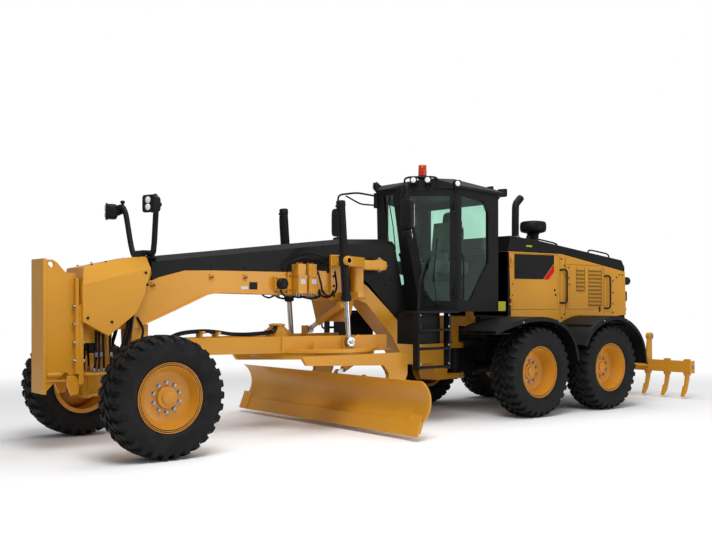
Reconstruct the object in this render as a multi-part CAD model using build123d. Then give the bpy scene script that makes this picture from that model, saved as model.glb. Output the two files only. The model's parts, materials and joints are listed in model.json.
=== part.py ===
from build123d import *
import math
import os

# A full-size motor grader with an articulated frame, in millimetres.
# X runs forward, Y to the machine's left and Z up, with the ground at Z = 0.
# Every place below is measured from the front axle, and export moves the whole machine
# forward by AXLE_AHEAD, so that the origin lies on the ground under its middle.
AXLE_AHEAD = 4165

# Door hinges
HINGE_OUT = 14
HINGE_R = 12
HINGE_PIN_R = 7

# Running clearances
FIT = 0.1
LAP = 0.3
GAP = 6

# Wheels
TYRE_R = 600
TYRE_W = 420
SIDEWALL_R = 470
SHOULDER_DROP = 34
SIDE_FACETS = 20
LUGS = 20
LUG_DEPTH = 30
LUG_SHARE = 0.44
BEAD_R = 310
RIM_R = 340
RIM_W = 350
RIM_SHEET = 14
RIM_WALL = 16
DISC_R = 235
DISC_OUT = 40
DISC_T = 20
DISH = 50
HUB_R = 105
HUB_OUT = 130
NUTS = 10
NUT_RING_R = 158
NUT_R = 19
SPINDLE_R = 48
TRACK_HALF = 1070
WHEELBASE = 6123
TANDEM_HALF = 762.5
FRONT_X = -WHEELBASE + TANDEM_HALF
BACK_X = -WHEELBASE - TANDEM_HALF

# Front axle: the leaning and steering linkage
LEAN_Y = 700
KINGPIN_Y = 822
LEAN_BAR_Z = 905
AXLE_TOP = 800
AXLE_BOTTOM = 640
FORK_GAP = 62
STEER_ARM = 235
ARM_Z = (452, 485)
TIE_Z = 390

# Front frame
BEAM_HALF = 155
SHROUD_BEVEL = (45, 60)
BEAM_LOW = [(-200, 1324), (-610, 1495), (-1000, 1665), (-1150, 1688), (-1730, 1670), (-3020, 1640)]
LEG_LOW = [(-3290, 1506), (-3720, 1083), (-3940, 745), (-4030, 700), (-4440, 700), (-4500, 470)]
LEG_HIGH = [(-4720, 470), (-4720, 960), (-4143, 1022), (-3915, 1204), (-3305, 1772)]
BEAM_HIGH = [(-3020, 1931), (-1090, 1923), (-720, 1914), (-415, 1835), (-335, 1800), (-200, 1790)]
SHROUD_TOP = [(-330, 2060), (-1420, 2180), (-2870, 2355), (-3570, 2385), (-3760, 2400)]

# Articulation hitch between the two frames
HITCH_X = -5000
HITCH_PIN_R = 50
HITCH_EYE_R = 130
HITCH_LOW = (470, 545)
HITCH_HIGH = (890, 960)

# Cab
CAB_FLOOR = 1400
CAB_EAVE = 3030
CAB_WALL = 48
CAB_REAR = -5090
CAB_FRONT_TOP = -3770
CAB_FRONT_FOOT = -3980
CAB_CORNER = (-4330, 750)
CAB_NOSE = (-3770, 220)
PANE = 6

# Drawbar, circle and blade
BALL = (-250, 1000)
BALL_R = 75
CIRCLE_X = -2550
CIRCLE_R = 765
CIRCLE_IN = 627
CIRCLE_TEETH = 60
TOOTH_DEPTH = 36
TOOTH_GAP = 5
PINION_TEETH = 12
CIRCLE_Z = (858, 924)
DRAWBAR_Z = (930, 1120)
CROSS_TOP = 1010
PINION_SHAFT_R = 45
BEAM_OUT = 540
BEAM_IN = 430
ARM_Y = 750
ARM_T = 60
TIP_PIVOT = (-3100, 320)
BLADE_HALF = 1830
BLADE_T = 24
BLADE_TOP = (-2690, 655)
BLADE_BELLY = (-2822, 400)
BLADE_FOOT = (-2708, 205)
BLADE_TOE = (-2646, 50)
EDGE_SEAT = 130
EDGE_T = 16
END_BIT = 190
RAIL_BACK = -2882
TIP_BASE = (-3350, 830)
TIP_EYE = (-2965, 640)

# Hydraulic cylinders that lift and swing the drawbar
LIFT_TRUNNION = (-2588, 2010)
LIFT_EYE = (-2660, 1050)
LIFT_Y = 600
SHIFT_BASE = (280, 1480)
SHIFT_EYE = (-375, 1180)
SHIFT_X = -2780
SHIFT_BARREL = 505
SHIFT_ROD_FROM = 217

# Rear frame and engine house
RAIL_Y = 300
RAIL_Z = (700, 980)
REAR_X = -8150
HOOD_FOOT = 1330
HOOD_HALF = 620
HOOD_SKIN = 30
FENDER_R = 785
FENDER_T = 20
FENDER_FOOT = 1000
TANDEM_IN = 660
TANDEM_Z = (440, 760)
TANDEM_END = 137
RIPPER_PIVOT = (-8230, 640)
RIPPER_BEAM_X = -9130


def box(x, y, z):
    """The block between two places on each axis."""
    low = Vector(x[0], y[0], z[0])
    high = Vector(x[1], y[1], z[1])
    size = high - low
    return Pos(*((low + high) / 2)) * Box(abs(size.X), abs(size.Y), abs(size.Z))


def prism(axis, points, low, high):
    """The prism of an outline across an axis, between two places on that axis."""
    if axis == "x":
        path = [(low, u, v) for u, v in points]
        way = (1, 0, 0)
    elif axis == "y":
        path = [(u, low, v) for u, v in points]
        way = (0, 1, 0)
    else:
        path = [(u, v, low) for u, v in points]
        way = (0, 0, 1)
    return extrude(make_face(Polyline(*path, close=True)), amount=high - low, dir=way)


def bar(start, end, radius):
    """The round bar from one point to another."""
    start = Vector(*start)
    run = Vector(*end) - start
    standing = (Align.CENTER, Align.CENTER, Align.MIN)
    return Plane(origin=start, z_dir=run) * Cylinder(radius, run.length, align=standing)


def taper(first, first_y, second, second_y):
    """The solid between two outlines across the Y axis, with straight sides."""
    ends = []
    for points, y in ((first, first_y), (second, second_y)):
        ends.append(make_face(Polyline(*[(u, y, v) for u, v in points], close=True)))
    return loft(ends, ruled=True)


def corners(count, flat):
    """A regular outline whose flats lie at a radius."""
    radius = flat / math.cos(math.pi / count)
    turns = [2 * math.pi * index / count for index in range(count)]
    return [(radius * math.cos(turn), radius * math.sin(turn)) for turn in turns]


def toothed(count, tip, root, first=0.0):
    """A toothed outline from (radius, share of the pitch) at the tips and at the roots."""
    points = []
    for index in range(count):
        for side, (radius, share) in ((-1, root), (-1, tip), (1, tip), (1, root)):
            turn = first + 2 * math.pi / count * (index + side * share / 2)
            points.append((radius * math.cos(turn), radius * math.sin(turn)))
    return points


def tube(points, radius, bend):
    """A round tube along a bent path, with its corners turned by arcs."""
    path = FilletPolyline(*points, radius=bend)
    return sweep(Plane(origin=path @ 0, z_dir=path % 0) * Circle(radius), path=path)


def along(base, eye, distance):
    """The point on the line from one place to another, at a distance from the first."""
    run = Vector(*eye) - Vector(*base)
    return tuple(Vector(*base) + run.normalized() * distance)


def both(shape):
    """A left-hand piece together with its mirror image on the right."""
    return shape + mirror(shape, about=Plane.XZ)


def pair(shape):
    """A left-hand piece and its mirror image as two solids that do not touch."""
    return Compound(children=[*shape.solids(), *mirror(shape, about=Plane.XZ).solids()])


def right(shape):
    """The right-hand mirror image of a left-hand piece."""
    return mirror(shape, about=Plane.XZ)


def group(*shapes):
    """Several solids of one node that do not touch."""
    return Compound(children=[solid for shape in shapes for solid in shape.solids()])


def hinge_fixed(plane, edge, heights):
    """Hinge lugs and pin on the fixed side of an edge, in a panel's own plane with z inward."""
    shape = Part()
    for height in heights:
        for low in (height - 60, height + 32):
            leaf = [(edge, -HINGE_OUT - HINGE_R), (edge - 34, -8), (edge - 34, 1), (edge - 1, 1)]
            shape += prism("y", leaf, low, low + 28)
            shape += bar((edge, low, -HINGE_OUT), (edge, low + 28, -HINGE_OUT), HINGE_R)
        shape += bar((edge, height - 60, -HINGE_OUT), (edge, height + 60, -HINGE_OUT), HINGE_PIN_R)
    return plane * shape


def hinge_moving(plane, edge, heights):
    """The hinge barrels of a door, between the fixed lugs."""
    shape = Part()
    for height in heights:
        leaf = [(edge, -HINGE_OUT - HINGE_R), (edge + 40, -8), (edge + 40, 8), (edge + 12, 8),
                (edge + 12, -3), (edge, -3)]
        shape += prism("y", leaf, height - 31.7, height + 31.7)
        shape += bar((edge, height - 31.7, -HINGE_OUT), (edge, height + 31.7, -HINGE_OUT), HINGE_R)
        shape -= bar((edge, height - 40, -HINGE_OUT), (edge, height + 40, -HINGE_OUT), HINGE_PIN_R + FIT)
    return plane * shape


# Wheels
def tyre():
    """A tyre on the Y axis at the origin: two rows of staggered lugs, sunk sidewalls and the bore."""
    half = TYRE_W / 2
    bead = RIM_W / 2 - RIM_SHEET
    pitch = 2 * math.pi / LUGS
    crown = TYRE_R / math.cos(pitch * LUG_SHARE / 2)
    valley = TYRE_R - LUG_DEPTH
    shape = Part()
    for side in (1, -1):
        first = -math.pi / 2 + (1 - side) * pitch / 4
        middle = toothed(LUGS, (crown, LUG_SHARE), (valley, LUG_SHARE), first)
        edge = toothed(LUGS, (crown - SHOULDER_DROP, LUG_SHARE), (valley - 16, LUG_SHARE), first)
        shape += taper(middle, 0, edge, side * half)
    for side in (1, -1):
        outer = corners(SIDE_FACETS, SIDEWALL_R)
        shape -= taper(outer, side * half, corners(SIDE_FACETS, RIM_R + 2), side * bead)
    return shape - prism("y", corners(SIDE_FACETS, BEAD_R), -half, half)


def rim(hub_from, bore):
    """A one-piece rim on the Y axis: flanged barrel, dished disc, hub with its bore, and ten nuts."""
    half = RIM_W / 2
    seat = half - RIM_SHEET
    outer = BEAD_R - 2 * FIT
    inner = BEAD_R - RIM_WALL
    back = DISC_OUT + DISC_T
    side = [(0, hub_from), (HUB_R, hub_from), (HUB_R, DISC_OUT), (DISC_R, DISC_OUT), (inner, DISC_OUT + DISH),
            (inner, -half), (RIM_R, -half), (RIM_R, -seat), (outer, -seat), (outer, seat), (RIM_R, seat),
            (RIM_R, half), (inner, half), (inner, back + DISH), (DISC_R - 8, back), (HUB_R, back),
            (HUB_R, HUB_OUT), (0, HUB_OUT)]
    shape = revolve(make_face(Polyline(*side, close=True)), axis=Axis.Y)
    for index in range(NUTS):
        turn = 2 * math.pi * index / NUTS
        nut = prism("y", corners(6, NUT_R), back - 2, back + 22)
        shape += Pos(NUT_RING_R * math.cos(turn), 0, NUT_RING_R * math.sin(turn)) * nut
    return shape - bar((0, hub_from - 1, 0), (0, hub_from + bore, 0), SPINDLE_R + FIT)


FRONT_HUB = -70
REAR_HUB = -140
FRONT_BORE = 150
REAR_BORE = 170


def at_wheel(x, shape):
    """A piece drawn on the Y axis, moved to the left wheel at a place along the machine."""
    return Pos(x, TRACK_HALF, TYRE_R) * shape


# Front axle and its linkage
def front_axle():
    """The arched axle beam: a centre boss, two tapering arms and a fork at each end for the lean pin."""
    half = [(0, AXLE_BOTTOM), (180, AXLE_BOTTOM), (520, 520), (620, 520), (620, 690), (520, 720), (200, AXLE_TOP), (0, AXLE_TOP)]
    beam = prism("x", half, -85, 85)
    beam += bar((-108, 0, 720), (108, 0, 720), 78)
    for side in (-1, 1):
        low, high = sorted((side * FORK_GAP, side * (FORK_GAP + 38)))
        beam += prism("x", [(560, 520), (620, 520), (700, 535), (765, 600), (700, 665), (620, 690), (560, 690)], low, high)
    beam += bar((-(FORK_GAP + 50), LEAN_Y, TYRE_R), (FORK_GAP + 50, LEAN_Y, TYRE_R), 30)
    beam = both(beam)
    beam += bar((-175, 0, 720), (175, 0, 720), 45)
    return beam


def lean_frame():
    """The piece between lean pin and kingpin, with its horn up to the lean bar."""
    web = FORK_GAP - GAP
    shape = prism("x", [(645, 545), (790, 500), (KINGPIN_Y, 500), (KINGPIN_Y, 700), (745, 700), (745, 830),
                        (735, LEAN_BAR_Z + 40), (665, LEAN_BAR_Z + 40), (660, 700), (645, 655)], -web, web)
    shape += bar((0, KINGPIN_Y, 490), (0, KINGPIN_Y, 710), 58)
    shape -= bar((-100, LEAN_Y, TYRE_R), (100, LEAN_Y, TYRE_R), 30 + FIT)
    shape -= bar((0, KINGPIN_Y, 480), (0, KINGPIN_Y, 720), 32 + FIT)
    shape += bar((-web, LEAN_Y, LEAN_BAR_Z), (web + 60, LEAN_Y, LEAN_BAR_Z), 24)
    return shape


def lean_bar():
    """The bar across the top that leans both wheels together."""
    web = FORK_GAP
    shape = box((web, web + 40), (-LEAN_Y, LEAN_Y), (LEAN_BAR_Z - 45, LEAN_BAR_Z + 45))
    for side in (-1, 1):
        shape += bar((web, side * LEAN_Y, LEAN_BAR_Z), (web + 40, side * LEAN_Y, LEAN_BAR_Z), 55)
    for side in (-1, 1):
        shape -= bar((web - 10, side * LEAN_Y, LEAN_BAR_Z), (web + 60, side * LEAN_Y, LEAN_BAR_Z), 24 + FIT)
    return shape


def knuckle():
    """The steering knuckle: a yoke on the kingpin, the spindle, and the arm for the tie rod."""
    shape = Part()
    for low, high in ((715, 760), (440, 485)):
        shape += box((-60, 60), (KINGPIN_Y, KINGPIN_Y + 82), (low, high))
        shape += bar((0, KINGPIN_Y, low), (0, KINGPIN_Y, high), 60)
    shape += box((-70, 70), (KINGPIN_Y + 64, KINGPIN_Y + 100), (440, 760))
    shape += bar((0, KINGPIN_Y, 440), (0, KINGPIN_Y, 760), 32)
    inner = (0, KINGPIN_Y + 80, TYRE_R)
    shape += bar(inner, (0, TRACK_HALF + FRONT_HUB + FRONT_BORE - 10, TYRE_R), SPINDLE_R)
    shape += bar(inner, (0, TRACK_HALF + FRONT_HUB - 8, TYRE_R), 80)
    arm = [(-20, KINGPIN_Y - 45), (-STEER_ARM - 30, KINGPIN_Y - 32), (-STEER_ARM - 30, KINGPIN_Y + 30),
           (-20, KINGPIN_Y + 50)]
    shape += prism("z", arm, *ARM_Z)
    return shape + bar((-STEER_ARM, KINGPIN_Y, TIE_Z - 40), (-STEER_ARM, KINGPIN_Y, ARM_Z[1] - 5), 16)


def tie_rod_end():
    """The swivel on the steering arm's stud."""
    y = KINGPIN_Y
    shape = bar((-STEER_ARM, y, TIE_Z - 22), (-STEER_ARM, y, TIE_Z + 22), 30)
    shape += bar((-STEER_ARM - 46, y, TIE_Z), (-STEER_ARM + 46, y, TIE_Z), 14)
    return shape - bar((-STEER_ARM, y, TIE_Z - 60), (-STEER_ARM, y, TIE_Z + 60), 16 + FIT)


def tie_rod():
    """The rod that joins the two steering arms, with a forked end around the left swivel."""
    y = KINGPIN_Y
    z = TIE_Z
    shape = bar((-STEER_ARM, -y + 36, z), (-STEER_ARM, y - 60, z), 21)
    shape += box((-STEER_ARM - 46, -STEER_ARM + 46), (y - 80, y - 56), (z - 22, z + 22))
    for side in (-1, 1):
        edge = -STEER_ARM + side * 40
        shape += box((edge - 6, edge + 6), (y - 60, y + 22), (z - 22, z + 22))
    for side in (-1, 1):
        edge = -STEER_ARM + side * 40
        shape -= bar((edge - 9, y, z), (edge + 9, y, z), 14 + FIT)
    return shape + Pos(-STEER_ARM, -y, z) * (Cylinder(42, 24) - Cylinder(32, 60))


# Front frame
def front_frame():
    """The gooseneck: box beam, swept leg, hitch plates and the bolster above the front axle."""
    side = BEAM_LOW + LEG_LOW + LEG_HIGH + BEAM_HIGH
    shape = prism("y", side, -BEAM_HALF, BEAM_HALF)
    shape += prism("y", [(-260, 1300), (430, 1180), (430, 1760), (-260, 1760)], -BEAM_HALF, BEAM_HALF)
    for low, high in ((-170, -112), (112, 170)):
        shape += prism("x", [(-150, 1330), (150, 1330), (95, 640), (-95, 640)], low, high)
    shape -= bar((-200, 0, 720), (200, 0, 720), 45 + FIT)
    shape += box((430, 490), (-BEAM_HALF, BEAM_HALF), (760, 1760))
    shape += box((160, 440), (-BEAM_HALF, BEAM_HALF), (1100, 1250))
    for low, high in (HITCH_LOW, HITCH_HIGH):
        plate = box((HITCH_X, -4700), (-HITCH_EYE_R, HITCH_EYE_R), (low, high))
        shape += plate + bar((HITCH_X, 0, low), (HITCH_X, 0, high), HITCH_EYE_R)
        shape -= bar((HITCH_X, 0, low - 5), (HITCH_X, 0, high + 5), HITCH_PIN_R + FIT)
    for x, foot in ((-4150, 1000), (-4900, HITCH_HIGH[1] - 10)):
        shape += box((x - 50, x + 50), (-BEAM_HALF + 15, BEAM_HALF - 15), (foot, 1250))
        shape += box((x - 50, x + 50), (-460, 460), (1200, 1330))
        for y in (-400, 400):
            shape += bar((x, y, 1320), (x, y, CAB_FLOOR - LAP), 55)
    shape += box((BALL[0] - 60, BALL[0] + 110), (-110, 110), (BALL[1] - 100, 1330))
    shape -= Pos(BALL[0], 0, BALL[1]) * Sphere(BALL_R + LAP)
    shape -= bar((BALL[0] - 80, 0, BALL[1]), (BALL[0], 0, BALL[1]), BALL_R - 3)
    return shape


def beam_shroud():
    """The black cover on the beam, with bevelled top edges and side plates down to the cab."""
    wide, deep = SHROUD_BEVEL
    low = BEAM_HIGH[::-1][1:] + [(-3305, 1772), (-3915, 1204), (-4100, 1180), (-3970, 1385)]
    top = [(-3770, 2360)] + SHROUD_TOP[::-1][1:]
    full = low + top
    lowered = low + [(x, z - deep) for x, z in top]
    shape = prism("y", full, -BEAM_HALF + wide, BEAM_HALF - wide)
    return shape + both(taper(full, BEAM_HALF - wide, lowered, BEAM_HALF))


def nose_cover():
    """The faceted hood over the front of the frame."""
    side = [(470, 1320), (480, 1750), (450, 1920), (-100, 2040), (-250, 2050), (-280, 1815), (-200, 1600), (-100, 1400), (200, 1170)]
    shape = prism("y", side, -265, 265)
    cross = [(-265, 1100), (265, 1100), (265, 1780), (190, 2060), (-190, 2060), (-265, 1780)]
    shape = shape & prism("x", cross, -400, 500)
    return shape - front_frame()


def push_block():
    """The bolted front block: push plate, two gussets with lifting eyes, and mounting flange."""
    shape = box((808, 840), (-170, 170), (600, 2000))
    gusset = [(810, 620), (810, 1990), (735, 1990), (690, 1960), (600, 1810), (500, 1810), (500, 700), (600, 815), (700, 735)]
    for low, high in ((-150, -120), (120, 150)):
        shape += prism("y", gusset, low, high)
    shape += box((490, 515), (-BEAM_HALF, BEAM_HALF), (700, 1760))
    for z in (1150, 1600):
        shape += box((510, 812), (-122, 122), (z, z + 25))
    shape -= bar((755, -200, 1940), (755, 200, 1940), 30)
    return shape


def cab_plan(inset):
    """The cab's plan outline, drawn in by a wall."""
    dx = CAB_NOSE[0] - CAB_CORNER[0]
    dy = CAB_CORNER[1] - CAB_NOSE[1]
    reach = math.hypot(dx, dy)
    slope = -dy / dx
    shift = inset * reach / dx
    y_side = CAB_CORNER[1] - inset
    x_side = CAB_CORNER[0] + (y_side - CAB_CORNER[1] + shift) / slope
    x_nose = CAB_NOSE[0] + 120
    y_nose = CAB_NOSE[1] + slope * (x_nose - CAB_NOSE[0]) - shift
    rear = CAB_REAR + inset
    return [(x_nose, y_nose), (x_side, y_side), (rear, y_side), (rear, -y_side), (x_side, -y_side), (x_nose, -y_nose)]


def cab_block(inset):
    """The closed wedge of the cab, drawn in by a wall on every side."""
    shape = prism("z", cab_plan(inset), CAB_FLOOR + inset, CAB_EAVE - inset)
    cut = [(CAB_FRONT_FOOT - inset, CAB_FLOOR - 10), (CAB_FRONT_TOP - inset, CAB_EAVE + 10), (CAB_FRONT_TOP + 400, CAB_EAVE + 10),
           (CAB_FRONT_TOP + 400, CAB_FLOOR - 10)]
    return shape - prism("y", cut, -900, 900)


def door_plane():
    """The outer face of the left door's panel: x along the panel from the rear post, y up, z inward."""
    along = Vector(CAB_NOSE[0] - CAB_CORNER[0], CAB_NOSE[1] - CAB_CORNER[1], 0).normalized()
    return Plane(origin=(CAB_CORNER[0], CAB_CORNER[1], 0), x_dir=along, z_dir=along.cross(Vector(0, 0, 1)))


def door_slab(points, outer, inner):
    """A slab in the door's panel, between two depths below its outer face."""
    face = door_plane() * Pos(0, 0, outer) * make_face(Polyline(*points, close=True))
    return extrude(face, amount=inner - outer, dir=door_plane().z_dir)


CAB_HINGE_AT = 40
CAB_HINGE_HEIGHTS = (1650, 2750)
DOOR = [(45, 1450), (425, 1450), (690, 2975), (45, 2975)]
DOOR_GLASS = [(105, 1540), (330, 1540), (420, 1660), (625, 2900), (105, 2900)]
SIDE_WINDOW = [(-4395, 1540), (-4560, 1540), (-4900, 2050), (-4900, 2700), (-4820, 2850), (-4395, 2910)]
REAR_WINDOW = [(-560, 2000), (560, 2000), (560, 2850), (-560, 2850)]
FRONT_WINDOW = [(-150, 1750), (150, 1750), (95, 2930), (-95, 2930)]
ROOF_SIDE = [(-3700, 3030), (-3735, 3075), (-4000, 3235), (-4570, 3330), (-5150, 3190), (-5185, 3090),
             (-5185, 3030)]
ROOF_ACROSS = [(-790, 3030), (-790, 3085), (-430, 3330), (430, 3330), (790, 3085), (790, 3030)]
ROOF_PLAN = [(-3715, 130), (-4330, 790), (-5185, 790), (-5185, -790), (-4330, -790), (-3715, -130)]


def cab_shell():
    """The hollow cab with its roof, and openings for doors and windows."""
    shape = cab_block(0) - cab_block(CAB_WALL)
    opening = door_slab(DOOR, -20, CAB_WALL + 40)
    shape -= opening
    shape -= right(opening)
    shape -= prism("y", SIDE_WINDOW, -800, 800)
    shape -= prism("x", REAR_WINDOW, CAB_REAR - 20, CAB_REAR + CAB_WALL + 20)
    shape -= prism("x", FRONT_WINDOW, CAB_FRONT_FOOT - 150, CAB_FRONT_TOP + 30)
    shape += both(hinge_fixed(door_plane(), CAB_HINGE_AT, CAB_HINGE_HEIGHTS))
    span = 2 * CAB_CORNER[1]
    roof = prism("y", ROOF_SIDE, -span, span) & prism("x", ROOF_ACROSS, CAB_REAR - span, span)
    return shape + (roof & prism("z", ROOF_PLAN, 0, CAB_EAVE + span))


def cab_windows():
    """The fixed panes: front, both rear sides and rear."""
    inset = 20
    side = prism("y", SIDE_WINDOW, CAB_CORNER[1] - inset - PANE, CAB_CORNER[1] - inset)
    rear = prism("x", REAR_WINDOW, CAB_REAR + inset, CAB_REAR + inset + PANE)
    lean = (CAB_FRONT_TOP - CAB_FRONT_FOOT) / (CAB_EAVE - CAB_FLOOR)
    sheet = [(CAB_FRONT_FOOT - inset + lean * (z - CAB_FLOOR) - back, z) for z, back in
             ((1700, 0), (2950, 0), (2950, PANE), (1700, PANE))]
    front = prism("y", sheet, -300, 300) & prism("x", FRONT_WINDOW, CAB_FRONT_FOOT - 200, CAB_FRONT_TOP + 60)
    return group(side, right(side), rear, front)


def cab_interior():
    """The seat on its pedestal, armrest consoles and the front column."""
    floor = CAB_FLOOR + CAB_WALL
    shape = box((-4760, -4460), (-180, 180), (floor, floor + 380))
    shape += box((-4850, -4350), (-250, 250), (floor + 370, floor + 500))
    shape += prism("y", [(-4850, floor + 480), (-4740, floor + 480), (-4830, floor + 1180), (-4930, floor + 1180)], -230, 230)
    console = box((-4700, -4260), (270, 380), (floor + 480, floor + 640)) + box((-4640, -4560), (240, 380), (floor + 420, floor + 500))
    shape += both(console)
    return shape


def cab_door():
    """The left door: a frame around its glass."""
    frame = door_slab([(50, 1455), (421, 1455), (684, 2970), (50, 2970)], 2, 42) - door_slab(DOOR_GLASS, -10, 60)
    return frame + hinge_moving(door_plane(), CAB_HINGE_AT, CAB_HINGE_HEIGHTS)


def cab_door_glass():
    """The pane in the left door."""
    return door_slab(DOOR_GLASS, 18, 18 + PANE)


def access_steps():
    """The ladder, platform and handrail on each side of the cab."""
    ladder = Part()
    for x in (-3460, -3980):
        ladder += box((x - 12, x + 12), (860, 960), (690, 1410))
    for z in (710, 940, 1170):
        ladder += box((-3980, -3460), (870, 950), (z, z + 22))
    deck = [(-3448, 960), (-3448, 700), (-3800, 420), (-3950, 420), (-4000, 560), (-4150, 740), (-4150, 960)]
    ladder += prism("z", deck, 1385, 1410)
    ladder += box((-3940, -3800), (BEAM_HALF, 460), (1300, 1386))
    return pair(ladder)


def lift_saddle():
    """The saddle around the beam: lift arms out to the trunnions and the link bar below."""
    side = box((-2990, -2700), (BEAM_HALF, BEAM_HALF + 40), (1540, 2100))
    arm = prism("z", [(-3150, BEAM_HALF), (-3150, 300), (-2700, LIFT_Y - 75), (-2520, LIFT_Y - 75),
                      (-2520, LIFT_Y - 150), (-2680, 300), (-2700, BEAM_HALF)], 1955, 2075)
    x, z = LIFT_TRUNNION
    shape = both(side + arm + bar((x, LIFT_Y - 80, z), (x, LIFT_Y - 52, z), 45))
    link = [(-560, 1580), (-400, 1545), (-300, 1280), (300, 1280), (400, 1545), (560, 1580), (560, 1640), (-560, 1640)]
    shape += prism("x", link, -2900, -2830)
    shape += box((-2990, -2700), (-BEAM_HALF - 40, BEAM_HALF + 40), (1540, 1636))
    shape += bar((-2835, *SHIFT_BASE), (SHIFT_X + 42, *SHIFT_BASE), 26)
    return shape


def valve_banks():
    """Two banks of control valves on the beam's left side."""
    shape = Part()
    for x in (-2230, -2410):
        shape += box((x - 70, x + 70), (BEAM_HALF, 300), (1690, 1900))
        for spool in (-40, 0, 40):
            shape += bar((x + spool, 230, 1890), (x + spool, 230, 2060), 15)
    return shape


def lamps():
    """The head lamps on their two masts at the front of the beam."""
    mast = tube([(-345, 60, 2078), (-345, 100, 2200), (-335, 400, 2330), (-330, 430, 2600)], 19, 60)
    lamp = box((-250, -130), (410, 560), (2560, 2690)) + box((-340, -240), (425, 470), (2600, 2640))
    base = box((-400, -290), (-90, 90), (2045, 2085))
    return both(mast + lamp) + base - beam_shroud()


def mirrors():
    """The rear-view mirrors on bent tubes from the roof's front corners."""
    arm = tube([(-3780, 200, 3010), (-3650, 420, 3010), (-3470, 690, 3000), (-3470, 690, 2880)], 13, 50)
    glass = box((-3490, -3450), (590, 790), (2530, 2900))
    return pair((arm + glass) - SHELL)


def roof_lamps():
    """The work lamps and the beacon on the roof."""
    lamp = box((-4110, -4040), (310, 450), (3250, 3350)) + box((-4100, -4060), (360, 400), (3100, 3260))
    shape = both(lamp)
    beacon = bar((-4400, 0, 3270), (-4400, 0, 3345), 62) + bar((-4400, 0, 3340), (-4400, 0, 3470), 52)
    rear = both(box((-5150, -5090), (520, 640), (3140, 3240)))
    return group(*[lamp - SHELL for lamp in (shape, beacon, rear)])


# Drawbar, circle and blade
def drawbar():
    """The A-shaped drawbar: ball, two legs, the circle's plate and its drive housing."""
    low, high = DRAWBAR_Z
    ball = Pos(BALL[0], 0, BALL[1]) * Sphere(BALL_R)
    shape = ball + bar((-480, 0, BALL[1]), (BALL[0], 0, BALL[1]), 42)
    leg = prism("z", [(-430, 0), (-430, 62), (-2560, BEAM_OUT), (-2560, BEAM_IN), (-620, 0)], low, high)
    shape += both(leg)
    shape += Pos(CIRCLE_X, 0, low + 20) * (Cylinder(790, 40) - Cylinder(600, 60))
    shape += both(box((-3300, -2550), (BEAM_IN, BEAM_OUT), (low, high)))
    shape += box((-3300, -3180), (-BEAM_OUT, BEAM_OUT), (low, CROSS_TOP))
    for turn in range(6):
        pad = box((670, 745), (-70, 70), (CIRCLE_Z[1] + LAP, low + 10))
        shape += Pos(CIRCLE_X, 0, 0) * Rot(0, 0, 60 * turn + 30) * pad
    shape += box((-1960, -1840), (-400, 400), (low, high))
    eye_x, eye_z = LIFT_EYE
    shape += both(box((eye_x - 60, eye_x + 60), (BEAM_IN, LIFT_Y - 45), (eye_z - 50, eye_z + 60)))
    shape += Pos(PINION_X, 0, low + 130) * Cylinder(150, 260)
    shape -= bar((PINION_X, 0, low - 5), (PINION_X, 0, low + 75), PINION_SHAFT_R + FIT)
    foot, top = SHIFT_EYE[1] - 160, SHIFT_EYE[1] + 45
    lug = [(-BEAM_IN - 20, foot), (SHIFT_EYE[0] + 40, foot + 100), (SHIFT_EYE[0] + 40, top), (-BEAM_IN - 20, top)]
    return shape + prism("x", lug, SHIFT_X + 35 + 2 * GAP, SHIFT_X + 35 + 2 * GAP + 25)


PITCH_R = CIRCLE_IN + TOOTH_DEPTH / 2
PINION_R = PITCH_R * PINION_TEETH / CIRCLE_TEETH
PINION_X = CIRCLE_X + PITCH_R - PINION_R


def pinion():
    """The circle's drive pinion on its shaft, one tooth in the gap ahead of the circle's middle."""
    low, high = CIRCLE_Z
    reach = TOOTH_DEPTH / 2 - TOOTH_GAP
    outline = toothed(PINION_TEETH, (PINION_R + reach, 0.22), (PINION_R - TOOTH_DEPTH / 2 - TOOTH_GAP, 0.64))
    return Pos(PINION_X, 0, 0) * (prism("z", outline, low, high) + bar((0, 0, high), (0, 0, high + 75), PINION_SHAFT_R))


def circle():
    """The turning circle with its inner teeth and its side arms down to the blade's pivot."""
    low, high = CIRCLE_Z
    half_pitch = math.pi / CIRCLE_TEETH
    bore = toothed(CIRCLE_TEETH, (CIRCLE_IN, 0.27), (CIRCLE_IN + TOOTH_DEPTH, 0.49), half_pitch)
    ring = Pos(0, 0, (low + high) / 2) * Cylinder(CIRCLE_R, high - low) - prism("z", bore, low - 5, high + 5)
    shape = Pos(CIRCLE_X, 0, 0) * ring
    arm = [(-1850, 905), (-1930, 800), (-3050, 760), (-3130, 660), (-3130, 480), (-3010, 330), (-3040, 250),
           (-3150, 240), (-3330, 420), (-3430, 640), (-3430, 905)]
    side = prism("y", arm, ARM_Y - ARM_T / 2, ARM_Y + ARM_T / 2)
    side -= bar((TIP_PIVOT[0], ARM_Y - 100, TIP_PIVOT[1]), (TIP_PIVOT[0], ARM_Y + 100, TIP_PIVOT[1]), 35 + FIT)
    shape += both(side)
    shape += box((-3440, -3395), (-ARM_Y, ARM_Y), (770, 862))
    for side in (-1, 1):
        low_y, high_y = sorted((side * 32, side * 56))
        shape += box((-3396, TIP_BASE[0] + 35), (low_y, high_y), (TIP_BASE[1] - 40, TIP_BASE[1] + 40))
    shape += bar((TIP_BASE[0], -56, TIP_BASE[1]), (TIP_BASE[0], 56, TIP_BASE[1]), 20)
    return shape


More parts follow.
